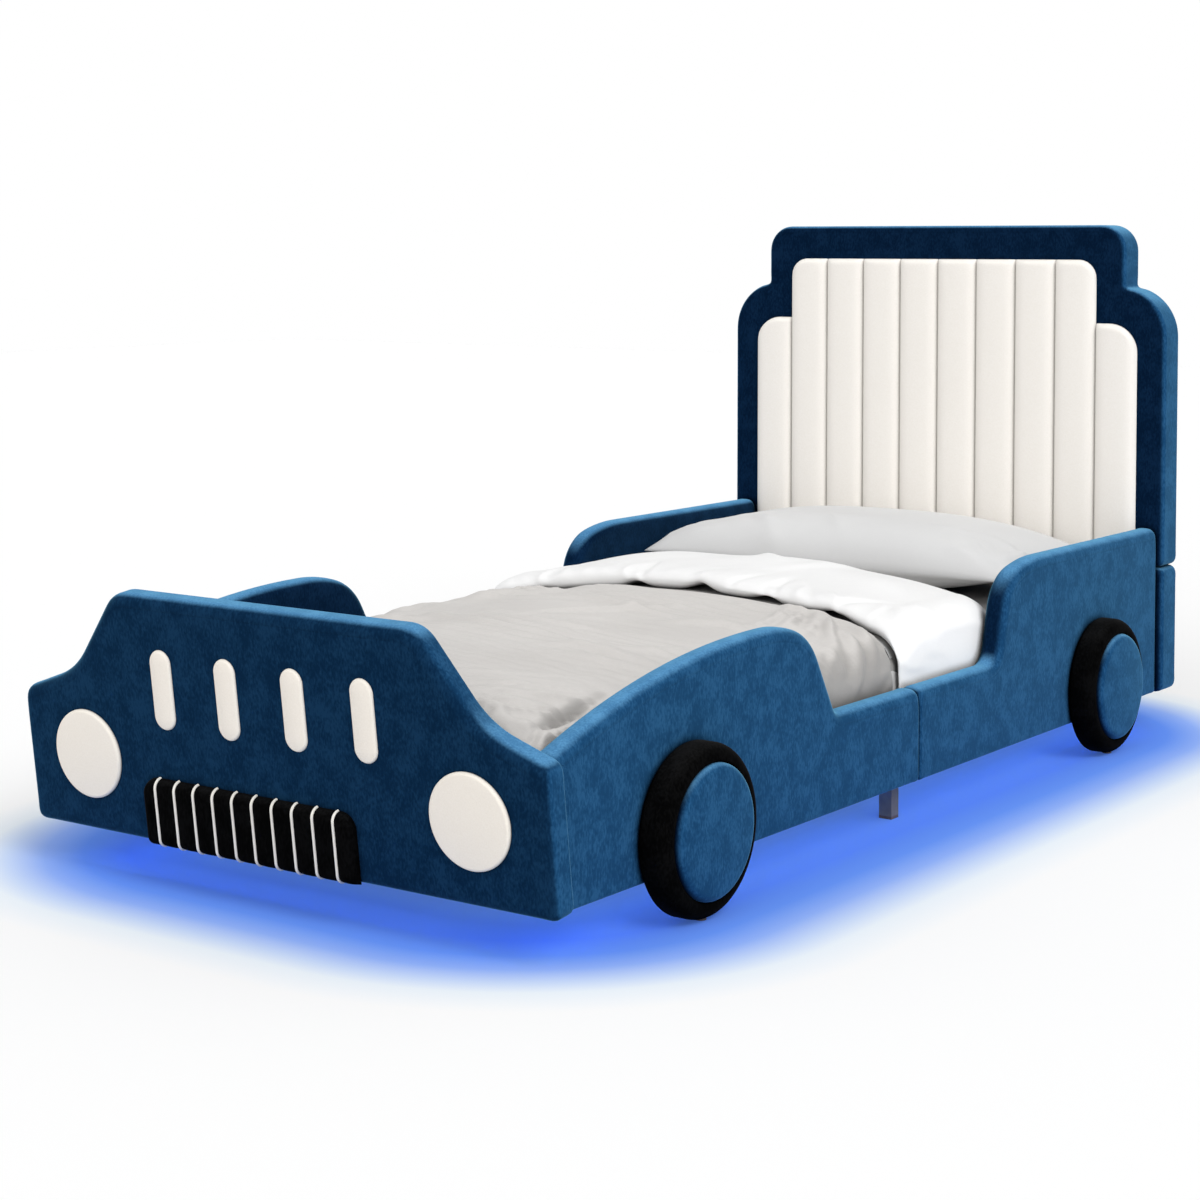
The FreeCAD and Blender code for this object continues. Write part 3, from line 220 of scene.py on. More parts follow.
def wood(name, dark, light, stretch):
    """Long grain: noise drawn out along the piece."""
    material, tree, shader = new_material(name, roughness=0.6, specular=0.3)
    grain = noise(tree, scale=55.0, detail=7.0, stretch=stretch)
    broad = noise(tree, scale=9.0, detail=3.0, stretch=stretch)
    colour = ramp(tree, mixed(tree, 0.4, grain, broad), GRAIN_STOPS, (dark, light))
    feed(shader, {"Base Color": colour})
    bump(tree, shader, grain, strength=0.2, distance=0.0005)
    return material


def hard(name, dark, light, roughness, metallic, scale):
    """Painted or plated metal, or plastic, with a faintly uneven finish."""
    material, tree, shader = new_material(name, roughness, specular=0.5)
    finish = noise(tree, scale, detail=4.0)
    feed(shader, {"Base Color": ramp(tree, finish, GRAIN_STOPS, (dark, light)), "Metallic": metallic})
    bump(tree, shader, finish, strength=0.08, distance=0.0004)
    return material


# Velvet tones: the shaded and deep shaded sets are painted shade, the lit and top lit sets painted light,
# and the highlight colours a painted highlight on the rims that also tints the sheen.
BLUE_TOP_LIT = ((0.062, 0.2, 0.39), (0.078, 0.24, 0.45), (0.1, 0.29, 0.52))
BLUE_LIT = ((0.0085, 0.05, 0.128), (0.0125, 0.066, 0.161), (0.02, 0.09, 0.205))
BLUE_SHADED = ((0.003, 0.018, 0.05), (0.0045, 0.0245, 0.064), (0.007, 0.034, 0.084))
BLUE_DEEP_SHADED = ((0.0018, 0.0098, 0.03), (0.0027, 0.0132, 0.039), (0.004, 0.018, 0.05))
BLUE_HIGHLIGHT = (0.16, 0.42, 0.62)
BLACK_PILE = ((0.0016, 0.0016, 0.0017), (0.0025, 0.0025, 0.0026), (0.004, 0.004, 0.0042))
BLACK_TOP_LIT = ((0.004, 0.004, 0.0042), (0.006, 0.006, 0.0062), (0.009, 0.009, 0.0094))
BLACK_HIGHLIGHT = (0.03, 0.03, 0.031)
# On the front panel the slopes keep the shaded tone, painted shade, and only the ends and the level top take
# painted light.
PANEL_SLANTS = {"turned": (0.55, 0.98), "level": (0.55, 1.0)}
blue_velvet = velvet("blue_velvet", BLUE_SHADED, BLUE_LIT, BLUE_TOP_LIT, BLUE_HIGHLIGHT, 0.06, **PANEL_SLANTS)
# The headboard front and the rails' inward faces carry the deepest painted shade; each rail is painted lit
# on its outer side.
shaded_headboard_velvet = velvet("blue_velvet_headboard_shaded", BLUE_DEEP_SHADED, BLUE_LIT, BLUE_TOP_LIT, BLUE_HIGHLIGHT, 0.05)
side_lit_velvet = {
    side: velvet(f"blue_velvet_{side}", BLUE_DEEP_SHADED, BLUE_LIT, BLUE_TOP_LIT, BLUE_HIGHLIGHT, 0.06, sign)
    for side, sign in SIDES.items()
}
black_velvet = velvet("black_velvet", BLACK_PILE, BLACK_PILE, BLACK_TOP_LIT, BLACK_HIGHLIGHT, 0.01)
cream_velvet = plush("cream_velvet", (0.905, 0.864, 0.806), (0.945, 0.908, 0.858), 0.05)
emblem_velvet = plush("cream_velvet_emblems", (0.865, 0.804, 0.723), (0.903, 0.846, 0.768), 0.03)
cream_cord = woven("cream_cord", (0.76, 0.72, 0.65), (0.86, 0.83, 0.77), 1800.0, shadow=0.9)
lining_cloth = woven("lining_cloth", (0.02, 0.02, 0.021), (0.045, 0.045, 0.047), 900.0)
webbing = woven("webbing", (0.66, 0.65, 0.61), (0.8, 0.79, 0.75), 700.0)
mattress_cloth = woven("mattress_cover", (0.56, 0.55, 0.54), (0.66, 0.65, 0.64), 900.0, shadow=0.85)
# The side share paints shade on the grey duvet's upright sides and light on the white band's upright sides.
duvet_grey = woven("duvet_grey", (0.545, 0.525, 0.505), (0.63, 0.61, 0.59), 520.0, side=0.62)
duvet_white = woven("duvet_white", (0.8, 0.8, 0.8), (0.86, 0.86, 0.86), 520.0, depth=0.016, side=1.1)
pillow_cloth = woven("pillow_cloth", (0.6, 0.6, 0.6), (0.67, 0.67, 0.67), 1100.0, shadow=0.6)
plywood = wood("plywood", (0.42, 0.29, 0.16), (0.62, 0.47, 0.3), (1, 0.1, 0.1))
pine_slats = wood("pine_slats", (0.55, 0.38, 0.2), (0.74, 0.57, 0.36), (0.06, 1, 1))
pine_ledgers = wood("pine_ledgers", (0.55, 0.38, 0.2), (0.74, 0.57, 0.36), (1, 0.06, 1))
dark_steel = hard("dark_steel", (0.12, 0.112, 0.1), (0.15, 0.142, 0.13), 0.5, 0.0, 60.0)
zinc_steel = hard("zinc_steel", (0.5, 0.51, 0.53), (0.66, 0.67, 0.68), 0.38, 1.0, 90.0)
brown_plastic = hard("brown_plastic", (0.075, 0.05, 0.032), (0.11, 0.075, 0.05), 0.55, 0.0, 120.0)
light_strip = hard("light_strip", (0.06, 0.16, 0.8), (0.1, 0.22, 0.95), 0.35, 0.0, 80.0)
STRIP_LIGHT = {"Emission Color": (0.1, 0.3, 1.0, 1.0), "Emission Strength": 14.0}
feed(light_strip.node_tree.nodes["Principled BSDF"], STRIP_LIGHT)

NODE_FINISHES = (
    (lining_cloth, ("front_panel_lining", "headboard_lining", "headboard_lower_lining")),
    (plywood, ("front_panel_board", "headboard_board", "headboard_lower_board", "wheel_boards")),
    (plywood, tuple(f"{side}_{end}_rail_board" for side in SIDES for end in ENDS)),
    (pine_slats, ("slats",)),
    (pine_ledgers, tuple(f"{side}_{end}_ledger" for side in SIDES for end in ENDS)),
    (webbing, ("slat_straps",)),
    (dark_steel, ("left_mid_leg", "right_mid_leg", "mid_crossbar", "leg_plates")),
    (zinc_steel, ("front_corner_brackets", "rear_corner_brackets", "rail_splice_plates")),
    (zinc_steel, ("headboard_join_plates", "corner_screws", "rail_splice_screws")),
    (zinc_steel, ("headboard_join_screws", "wheel_screws", "ledger_screws", "leg_screws")),
    (brown_plastic, ("wheel_glides", "leg_glides")),
    (light_strip, ("light_strips",)),
)
for finish, names in NODE_FINISHES:
    for name in names:
        for holder in cad_nodes[name].material_slots:
            holder.material = finish


# Mesh helpers


def smooth(piece):
    piece.data.polygons.foreach_set("use_smooth", [True] * len(piece.data.polygons))
    piece.data.update()


def new_piece(name, points, faces, material):
    mesh = bpy.data.meshes.new(name)
    mesh.from_pydata([tuple(point) for point in points], [], faces)
    mesh.update()
    mesh.materials.append(material)
    piece = bpy.data.objects.new(name, mesh)
    scene.collection.objects.link(piece)
    smooth(piece)
    return piece


def vectors(items, name):
    """Three numbers for each of a mesh's items, as rows."""
    flat = np.empty(len(items) * 3)
    items.foreach_get(name, flat)
    return flat.reshape(-1, 3)


def points_of(piece):
    return vectors(piece.data.vertices, "co")


def normals_of(piece):
    return vectors(piece.data.vertex_normals, "vector")


def set_points(piece, points):
    piece.data.vertices.foreach_set("co", np.ascontiguousarray(points).ravel())
    piece.data.update()


def modify(piece, kind, **settings):
    """A new modifier on a piece."""
    modifier = piece.modifiers.new(kind.lower(), kind)
    for name, value in settings.items():
        setattr(modifier, name, value)
    return modifier


def bake_modifiers(piece):
    """Put the result of a piece's modifiers into its own mesh."""
    shown = piece.evaluated_get(bpy.context.evaluated_depsgraph_get())
    made = bpy.data.meshes.new_from_object(shown)
    piece.modifiers.clear()
    piece.data = made
    smooth(piece)


def tidy_mesh(piece):
    """Join points that meet, drop faces without area and turn all faces outwards."""
    made = bmesh.new()
    made.from_mesh(piece.data)
    bmesh.ops.remove_doubles(made, verts=made.verts[:], dist=5e-4)
    bmesh.ops.dissolve_degenerate(made, edges=made.edges[:], dist=1e-5)
    bmesh.ops.recalc_face_normals(made, faces=made.faces[:])
    made.to_mesh(piece.data)
    made.free()
    smooth(piece)


def settle(piece, body, slot, *nodes):
    """Hand a finished piece to its body and hide the solids that it stands for. The slot, its finish, is not
    used.
    """
    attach(piece, body)
    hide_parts(*nodes)


def ring_faces(rings, count, closed=False):
    """Quads between rings of points, one ring after another."""
    faces = []
    for number in range(rings if closed else rings - 1):
        here = number * count
        there = (number + 1) % rings * count
        for a in range(count):
            b = (a + 1) % count
            faces.append((here + a, there + a, there + b, here + b))
    return faces


def sheet_faces(columns, rows, first=0, turned=False):
    """Quads of a grid whose points run along the rows of each column."""
    faces = []
    for column in range(columns - 1):
        for row in range(rows - 1):
            a = first + column * rows + row
            b = a + rows
            faces.append((a, a + 1, b + 1, b) if turned else (a, b, b + 1, a + 1))
    return faces


def border(columns, rows):
    """Point numbers round the edge of a grid, in order."""
    bottom = [column * rows for column in range(columns)]
    right = [(columns - 1) * rows + row for row in range(1, rows)]
    top = [column * rows + rows - 1 for column in range(columns - 2, -1, -1)]
    left = list(range(rows - 2, 0, -1))
    return bottom + right + top + left


def closed_sheet(name, outer, inner, grid, material):
    """A solid between two grids of the same size."""
    count = len(outer)
    faces = sheet_faces(*grid) + sheet_faces(*grid, count, turned=True)
    edge = border(*grid)
    for a, b in zip(edge, edge[1:] + edge[:1]):
        faces.append((b, a, a + count, b + count))
    return new_piece(name, np.concatenate([outer, inner]), faces, material)


# Number helpers


def ramped(values, low, high):
    """Values as shares of the way from a low to a high limit."""
    return np.clip((values - low) / (high - low), 0, 1)


def rounded(distance, radius):
    """Height share of a round edge at a distance inside it."""
    return np.sqrt(1 - (1 - ramped(distance, 0, radius)) ** 2)


def spread(count):
    """Places from 0 to 1, closer together near both ends."""
    return (1 - np.cos(np.linspace(0, math.pi, count))) / 2


def distances(path):
    """How far along a path each of its points lies."""
    return np.concatenate([[0], np.cumsum(np.linalg.norm(np.diff(path, axis=0), axis=1))])


def resampled(path, shares):
    """Points of a path at shares of its length."""
    along = distances(path)
    wanted = along[-1] * shares
    return np.stack([np.interp(wanted, along, path[:, axis]) for axis in (0, 1)], axis=1)


def ripples(points, wavelength, seed):
    """A soft random wave over points, between about -1 and 1."""
    chance = np.random.default_rng(seed)
    total = np.zeros(len(points))
    waves = 9
    for _ in range(waves):
        way = chance.normal(size=3)
        way /= np.linalg.norm(way)
        turns = 2 * math.pi / (wavelength * chance.uniform(0.7, 1.4))
        total += np.sin(points @ way * turns + chance.uniform(0, 2 * math.pi))
    return total / math.sqrt(waves)


# Jackets on the padded boards

BACK_ROUND = 0.008
SECTION_DEPTH = 0.0125
LINED_RIM = 0.012
LINED_STEP = 0.002
OUTLINE_STEP = 0.006
CROWDED = 0.002
CLEAR_SHARE = 0.995
CLEAR_ROUNDS = 4
EVENED_ROUNDS = 10
FILL_STEP = 0.02
FLAT_BORDER = 0.004
SEAM_INSET = 0.004
SEAM_HALF = 0.0014
SEAM_SINK = 0.0007
TOP_SLANTS = (0.06, 0.22)
SEAM_SLANTS = (0.5, 0.8)
FAIRING = (0.5, -0.53) * 8
EDGE_TURN = np.linspace(0, math.pi / 2, 8)
RAIL_THICKNESS = 0.045
PANEL_THICKNESS = 0.042
HEADBOARD_THICKNESS = 0.076
RAIL_OUTER = 0.515
RAIL_ROUNDS = (0.007, 0.018)
PANEL_ROUNDS = (0.0115, 0.017)
HEADBOARD_ROUNDS = (0.0115, 0.0115)


def section(node, place, way):
    """Points in order round the longest loop where a plane cuts a solid."""
    cut = bmesh.new()
    cut.from_mesh(cad_nodes[node].data)
    bmesh.ops.remove_doubles(cut, verts=cut.verts[:], dist=1e-5)
    whole = cut.verts[:] + cut.edges[:] + cut.faces[:]
    made = bmesh.ops.bisect_plane(cut, geom=whole, plane_co=place, plane_no=way)["geom_cut"]
    links = {}
    for item in made:
        if isinstance(item, bmesh.types.BMEdge):
            first, second = item.verts
            links.setdefault(first, []).append(second)
            links.setdefault(second, []).append(first)
    loops = []
    used = set()
    for begin in links:
        loop = []
        onward = [] if begin in used else [begin]
        while onward:
            loop.append(onward[0])
            used.add(onward[0])
            onward = [point for point in links[loop[-1]] if point not in used]
        loops.append([point.co.copy() for point in loop])
    cut.free()
    return max(loops, key=lambda loop: sum((a - b).length for a, b in zip(loop, loop[1:])))


def even_loop(points, step):
    """A closed outline with its points a step apart."""
    closed = np.vstack([points, points[:1]])
    count = round(distances(closed)[-1] / step)
    return resampled(closed, np.arange(count) / count)


def faired(outline):
    """A closed outline without the small flats of its arcs; each second step undoes the shrinking."""
    for share in FAIRING:
        middle = (np.roll(outline, 1, axis=0) + np.roll(outline, -1, axis=0)) / 2
        outline = outline + share * (middle - outline)
    return outline


def enclosed_area(outline):
    after = np.roll(outline, -1, axis=0)
    return (outline[:, 0] * after[:, 1] - outline[:, 1] * after[:, 0]).sum() / 2


def nearest_finder(points):
    """A search tree over flat points."""
    tree = KDTree(len(points))
    for number, (u, v) in enumerate(points):
        tree.insert((u, v, 0.0), number)
    tree.balance()
    return tree


def inward(outline):
    """The way in at each point of an anticlockwise outline."""
    way = np.roll(outline, -1, axis=0) - np.roll(outline, 1, axis=0)
    way /= np.linalg.norm(way, axis=1, keepdims=True)
    return np.stack([-way[:, 1], way[:, 0]], axis=1)


def drawn_in(outline, tree, insets):
    """An outline moved inwards by an inset at each point; points that crowd at a corner meet there."""
    points = outline + inward(outline) * insets[:, None]
    for number, (point, inset) in enumerate(zip(points, insets)):
        for _ in range(CLEAR_ROUNDS):
            near, _, gap = tree.find((*point, 0.0))
            if gap > inset * CLEAR_SHARE:
                break
            point = np.array(near.xy) + (point - near.xy) * inset / max(gap, 1e-6)
        points[number] = point
    for number in range(1, len(points)):
        for kept in (number - 1, 0):
            if np.linalg.norm(points[number] - points[kept]) < CROWDED:
                points[number] = points[kept]
    return points


def evened(values):
    """Values round an outline with their steps spread over a few points."""
    for _ in range(EVENED_ROUNDS):
        values = (np.roll(values, 1) + 2 * values + np.roll(values, -1)) / 4
    return values


def inside(points, ring):
    """Which points lie inside a ring."""
    result = np.zeros(len(points), dtype=bool)
    for (ax, ay), (bx, by) in zip(ring, np.roll(ring, -1, axis=0)):
        crosses = (ay > points[:, 1]) != (by > points[:, 1])
        rise = by - ay if by != ay else 1e-12
        result ^= crosses & (points[:, 0] < (bx - ax) * (points[:, 1] - ay) / rise + ax)
    return result


def filled(ring):
    """Even triangles inside a ring: the points added to the ring's own, and the faces over both."""
    low = ring.min(axis=0) + FILL_STEP / 2
    columns, rows = [np.arange(low[axis], ring[:, axis].max(), FILL_STEP) for axis in (0, 1)]
    grid = np.stack(np.meshgrid(columns, rows, indexing="ij"), axis=-1).reshape(-1, 2)
    tree = nearest_finder(ring)
    clear = np.array([tree.find((*point, 0.0))[2] > FILL_STEP / 2 for point in grid])
    grid = grid[inside(grid, ring) & clear]
    spots = [Vector(point) for point in np.vstack([ring, grid])]
    _, _, faces, sources, _, _ = delaunay_2d_cdt(spots, [], [list(range(len(ring)))], 1, 1e-5)
    return grid, [tuple(sources[corner][0] for corner in face) for face in faces]


def slab(node, material, origin, across, upward, thickness, lined, rounds):
    """A padded board in its jacket, drawn round the solid's own outline, with round edges and a sewn seam.

    The two rounds are those of the ends and of the edges that look up. A lined jacket ends in a flat rim
    behind, which its lining fills.
    """
    out = across.cross(upward)
    loop = section(node, origin - out * SECTION_DEPTH, out)
    flat = np.array([((point - origin).dot(across), (point - origin).dot(upward)) for point in loop])
    if enclosed_area(flat) < 0:
        flat = flat[::-1]
    outline = faired(even_loop(flat, OUTLINE_STEP))
    tree = nearest_finder(even_loop(outline, OUTLINE_STEP / 6))
    upness = -inward(outline)[:, 1]
    end_round, top_round = rounds
    front = evened(end_round + (top_round - end_round) * ramped(upness, *TOP_SLANTS))
    sink = SEAM_SINK * evened(ramped(upness, *SEAM_SLANTS)) ** 2
    count = len(outline)
    none = np.zeros(count)
    back = none + BACK_ROUND if lined else front
    seam = front + SEAM_INSET
    rings = [(seam + side * SEAM_HALF, none if side else sink) for side in (3, 1, 0, -1)]
    rings += [(front * (1 - math.sin(turn)), front * (1 - math.cos(turn))) for turn in EDGE_TURN]
    rings += [(back * (1 - math.cos(turn)), thickness - back * (1 - math.sin(turn))) for turn in EDGE_TURN]
    if lined:
        rings += [(none + LINED_RIM, none + thickness), (none + LINED_RIM, none + thickness - LINED_STEP)]
    else:
        rings.append((back + FLAT_BORDER, none + thickness))
    flats = [drawn_in(outline, tree, insets) for insets, _ in rings]
    spots = []
    for ring, (_, depths) in zip(flats, rings):
        spots += [(*point, depth) for point, depth in zip(ring, depths)]
    faces = ring_faces(len(rings), count)
    for number in (0, len(rings) - 1):
        added, triangles = filled(flats[number])
        first = len(spots)
        spots += [(*point, rings[number][1][0]) for point in added]
        for triangle in triangles:
            corners = [number * count + c if c < count else first + c - count for c in triangle]
            faces.append(tuple(corners if number == 0 else corners[::-1]))
    points = [origin + across * u + upward * v - out * depth for u, v, depth in spots]
    piece = new_piece(f"soft_{node}", points, faces, material)
    tidy_mesh(piece)
    modify(piece, "WEIGHTED_NORMAL")
    bake_modifiers(piece)
    settle(piece, "frame", "blue_velvet", node)


ALONG_X = Vector((1, 0, 0))
ALONG_Z = Vector((0, 0, 1))
for side, sign in SIDES.items():
    for end in ENDS:
        face = Vector((sign * RAIL_OUTER, 0, 0))
        along = Vector((0, sign, 0))
        name = f"{side}_{end}_rail_jacket"
        slab(name, side_lit_velvet[side], face, along, ALONG_Z, RAIL_THICKNESS, False, RAIL_ROUNDS)
panel_foot = Vector((0, PANEL_FOOT_Y, PANEL_BOTTOM))
panel_up = Vector((0, -math.sin(PANEL_LEAN), math.cos(PANEL_LEAN)))
slab("front_panel_jacket", blue_velvet, panel_foot, ALONG_X, panel_up, PANEL_THICKNESS, True, PANEL_ROUNDS)
headboard_face = Vector((0, HEAD_FACE_Y, 0))
for name in ("headboard_jacket", "headboard_lower_jacket"):
    slab(name, shaded_headboard_velvet, headboard_face, ALONG_X, ALONG_Z, HEADBOARD_THICKNESS, True, HEADBOARD_ROUNDS)


# Round and long pads

SEGMENTS = 112
BEND_POINTS = 9
CROWN_PLACES = np.linspace(0.04, 1, 12)
TYRE_HOLE = 0.1035
TYRE_OUTER_BEND = 0.021
TYRE_INNER_BEND = 0.005
TYRE_BACK_BEND = 0.008
HUB_EDGE = 0.013
HUB_CROWN = 0.003
EMBLEM_EDGE = 0.005
EMBLEM_CROWN = 0.0015
EMBLEM_SHARE = 0.45
EMBLEM_GAP = 0.02


def ring_points(half_length, radius):
    """A circle, or two half circles that are a length apart."""
    turn = 2 * math.pi * (np.arange(SEGMENTS) + 0.5) / SEGMENTS
    shift = np.where(np.sin(turn) > 0, half_length, -half_length)
    return np.stack([radius * np.cos(turn), radius * np.sin(turn) + shift], axis=1)


def ringed(name, material, profile, half_length, to_world, closed):
    """Rings along a profile of (radius, height out): a pad with a filled middle, or a closed tyre."""
    points = []
    for radius, out in profile:
        points += [to_world(a, b, out) for a, b in ring_points(half_length, radius)]
    faces = ring_faces(len(profile), SEGMENTS, closed)
    if not closed:
        faces.append(tuple(range(SEGMENTS)))
        faces.append(tuple(range(len(points) - SEGMENTS, len(points))))
    piece = new_piece(name, points, faces, material)
    tidy_mesh(piece)
    return piece


def bend(radius, out, size, begin, finish):
    """Part of a round edge as (radius, height out) pairs, between two angles in degrees."""
    turn = np.radians(np.linspace(begin, finish, BEND_POINTS))
    return [(radius + size * math.cos(angle), out + size * math.sin(angle)) for angle in turn]


def pad_profile(radius, depth, crown, edge):
    """A crowned face, a round edge and a short wall down to the board."""
    face = radius - edge
    crowned = [(share * face, depth + crown * (1 - share**2)) for share in CROWN_PLACES]
    return crowned[:-1] + bend(face, depth - edge, edge, 90, 0) + [(radius, 0.0)]


def tyre_profile(radius, depth):
    """Cross-section of a stuffed ring, wide at the rail and rounder outside."""
    profile = [(TYRE_HOLE, 0.0)]
    profile += bend(radius - TYRE_BACK_BEND, TYRE_BACK_BEND, TYRE_BACK_BEND, -90, 0)
    profile += bend(radius - TYRE_OUTER_BEND, depth - TYRE_OUTER_BEND, TYRE_OUTER_BEND, 0, 90)
    profile += bend(TYRE_HOLE + TYRE_INNER_BEND, depth - TYRE_INNER_BEND, TYRE_INNER_BEND, 90, 180)
    return profile


def wheel_piece(node, material, slot, is_tyre):
    """A turned pad on a wheel, in the place and of the size of its solid."""
    low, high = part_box(node)
    middle = (low + high) / 2
    sign = math.copysign(1, middle.x)
    inner = min(abs(low.x), abs(high.x))
    depth = high.x - low.x
    radius = (high.z - low.z) / 2
    if is_tyre:
        profile = tyre_profile(radius, depth)
    else:
        profile = pad_profile(radius, depth - HUB_CROWN, HUB_CROWN, HUB_EDGE)

    def to_world(a, b, out):
        return (sign * (inner + out), middle.y + a, middle.z + b)

    piece = ringed(f"soft_{node}", material, profile, 0.0, to_world, is_tyre)
    settle(piece, "frame", slot, node)


for side in SIDES:
    for end in ENDS:
        wheel_piece(f"{side}_{end}_tyre", black_velvet, "black_velvet", True)
        wheel_piece(f"{side}_{end}_hub", side_lit_velvet[side], "blue_velvet", False)


def on_panel(x, up, out):
    """A point in front of the leaning front panel."""
    y = PANEL_FOOT_Y - up * math.sin(PANEL_LEAN) - out * math.cos(PANEL_LEAN)
    z = PANEL_BOTTOM + up * math.cos(PANEL_LEAN) - out * math.sin(PANEL_LEAN)
    return (x, y, z)


def off_panel(points):
    """Points as places across and up the panel and heights out of it."""
    y = points[:, 1] - PANEL_FOOT_Y
    z = points[:, 2] - PANEL_BOTTOM
    up = -y * math.sin(PANEL_LEAN) + z * math.cos(PANEL_LEAN)
    out = -y * math.cos(PANEL_LEAN) - z * math.sin(PANEL_LEAN)
    return np.stack([points[:, 0], up, out], axis=1)


for node in ("left_headlight_pad", "right_headlight_pad", "hood_slot_pads"):
    places = off_panel(points_of(cad_nodes[node]))
    places = places[places[:, 0].argsort()]
    breaks = np.flatnonzero(np.diff(places[:, 0]) > EMBLEM_GAP) + 1
    for number, group in enumerate(np.split(places, breaks), 1):
        low = group.min(axis=0)
        high = group.max(axis=0)
        middle = (low + high) / 2
        radius = (high[0] - low[0]) / 2
        half_length = (high[1] - low[1]) / 2 - radius
        profile = pad_profile(radius, high[2] * EMBLEM_SHARE - EMBLEM_CROWN, EMBLEM_CROWN, EMBLEM_EDGE)
        emblem = ringed(f"soft_{node}_{number}", emblem_velvet, profile, half_length,
                        lambda a, b, out: on_panel(middle[0] + a, middle[1] + b, out), False)
        settle(emblem, "frame", "cream_velvet", node)


# Pads with sewn channels


def channel_pad(name, material, edges, bottom, top_at, depth_at, grid, to_world):
    """A closed pad: columns of points from bottom to top over each channel, with a flat back.

    The grid says how many columns a channel has and how many rows each column.
    """
    columns, rows = grid
    xs = np.concatenate([left + (right - left) * spread(columns) for left, right in edges])
    front = []
    for x, top in zip(xs, top_at(xs)):
        for up in bottom + (top - bottom) * spread(rows):
            front.append((x, up, depth_at(x, up, top)))
    outer = [to_world(*point) for point in front]
    inner = [to_world(x, up, 0.0) for x, up, _ in front]
    return closed_sheet(name, outer, inner, (len(xs), rows), material)


def corner_top(x, half, top, radius):
    """Height of a round-cornered outline over x."""
    over = np.clip(np.abs(x) - (half - radius), 0, radius)
    return top - radius + np.sqrt(np.maximum(radius**2 - over**2, 0))


# Cream headboard pad

CHANNELS = 10
CHANNEL_PITCH = 0.0935
CHANNEL_BOTTOM = 0.348
CHANNEL_TOP = 0.977
OUTER_TOP = 0.843
TOP_RADIUS = 0.040
OUTER_RADIUS = 0.062
PAD_HALF = CHANNEL_PITCH * CHANNELS / 2
INNER_HALF = PAD_HALF - CHANNEL_PITCH
CHANNEL_DEPTH = 0.014
CHANNEL_SQUARENESS = 4
CHANNEL_FULLNESS = 0.6
SEAM_DEPTH = 0.001
SEAM_HAIR = 1e-5
PAD_EDGE = 0.012
PAD_SINK = 0.001
PAD_GRID = (17, 60)


def pad_top(x):
    inner = corner_top(x, INNER_HALF, CHANNEL_TOP, TOP_RADIUS)
    outer = corner_top(x, PAD_HALF, OUTER_TOP, OUTER_RADIUS)
    return np.where(np.abs(x) <= INNER_HALF, inner, outer)


def channel_depth(x, up, top):
    place = (x + PAD_HALF) / CHANNEL_PITCH
    across = 2 * (place - math.floor(min(place, CHANNELS - 1e-6))) - 1
    arch = max(1 - abs(across) ** CHANNEL_SQUARENESS, 0) ** CHANNEL_FULLNESS
    end = rounded(min(top - up, up - CHANNEL_BOTTOM), PAD_EDGE)
    side = rounded(PAD_HALF - abs(x), PAD_EDGE)
    return (SEAM_DEPTH + (CHANNEL_DEPTH - SEAM_DEPTH) * arch) * end * side


def on_headboard(x, up, out):
    return (x, HEAD_FACE_Y + PAD_SINK - out, up)


pad_edges = []
for number in range(CHANNELS):
    left = -PAD_HALF + number * CHANNEL_PITCH
    pad_edges.append((left + SEAM_HAIR, left + CHANNEL_PITCH - SEAM_HAIR))
headboard_pad = channel_pad(
    "headboard_pad", cream_velvet, pad_edges, CHANNEL_BOTTOM, pad_top, channel_depth, PAD_GRID, on_headboard
)
settle(headboard_pad, "frame", "cream_velvet", "headboard_channels")

# Black grille pad and its cords

GRILLE_CENTRE = -0.046
GRILLE_WIDTH = 0.436
GRILLE_HEIGHT = 0.109
GRILLE_DEPTH = 0.018
GRILLE_CORNER = 0.026
GRILLE_EDGE = 0.014
GRILLE_DIP = 0.004
GRILLE_GRID = (11, 30)
CORDS = 10
CORD_PITCH = 0.0412
CORD_RADIUS = 0.0024
CORD_LIFT = 0.4 * CORD_RADIUS
CORD_POINTS = 33

cord_places = [GRILLE_CENTRE + CORD_PITCH * (number - (CORDS - 1) / 2) for number in range(CORDS)]
grille_marks = [GRILLE_CENTRE - GRILLE_WIDTH / 2] + cord_places + [GRILLE_CENTRE + GRILLE_WIDTH / 2]


def grille_top(x):
    return corner_top(x - GRILLE_CENTRE, GRILLE_WIDTH / 2, GRILLE_HEIGHT, GRILLE_CORNER)


def grille_depth(x, up, top):
    last = len(grille_marks) - 2
    index = int(np.clip(np.searchsorted(grille_marks, x) - 1, 0, last))
    left = grille_marks[index]
    right = grille_marks[index + 1]
    across = 2 * (x - left) / (right - left) - 1
    if index == 0:
        across = max(across, 0)
    if index == last:
        across = min(across, 0)
    swell = GRILLE_DEPTH - GRILLE_DIP * across**2
    end = rounded(min(top - up, up), GRILLE_EDGE)
    side = rounded(GRILLE_WIDTH / 2 - abs(x - GRILLE_CENTRE), GRILLE_EDGE)
    return swell * end * side


grille_edges = list(zip(grille_marks[:-1], grille_marks[1:]))
grille = channel_pad(
    "grille", black_velvet, grille_edges, 0.0, grille_top, grille_depth, GRILLE_GRID, on_panel
)
settle(grille, "frame", "black_velvet", "grille_pad")

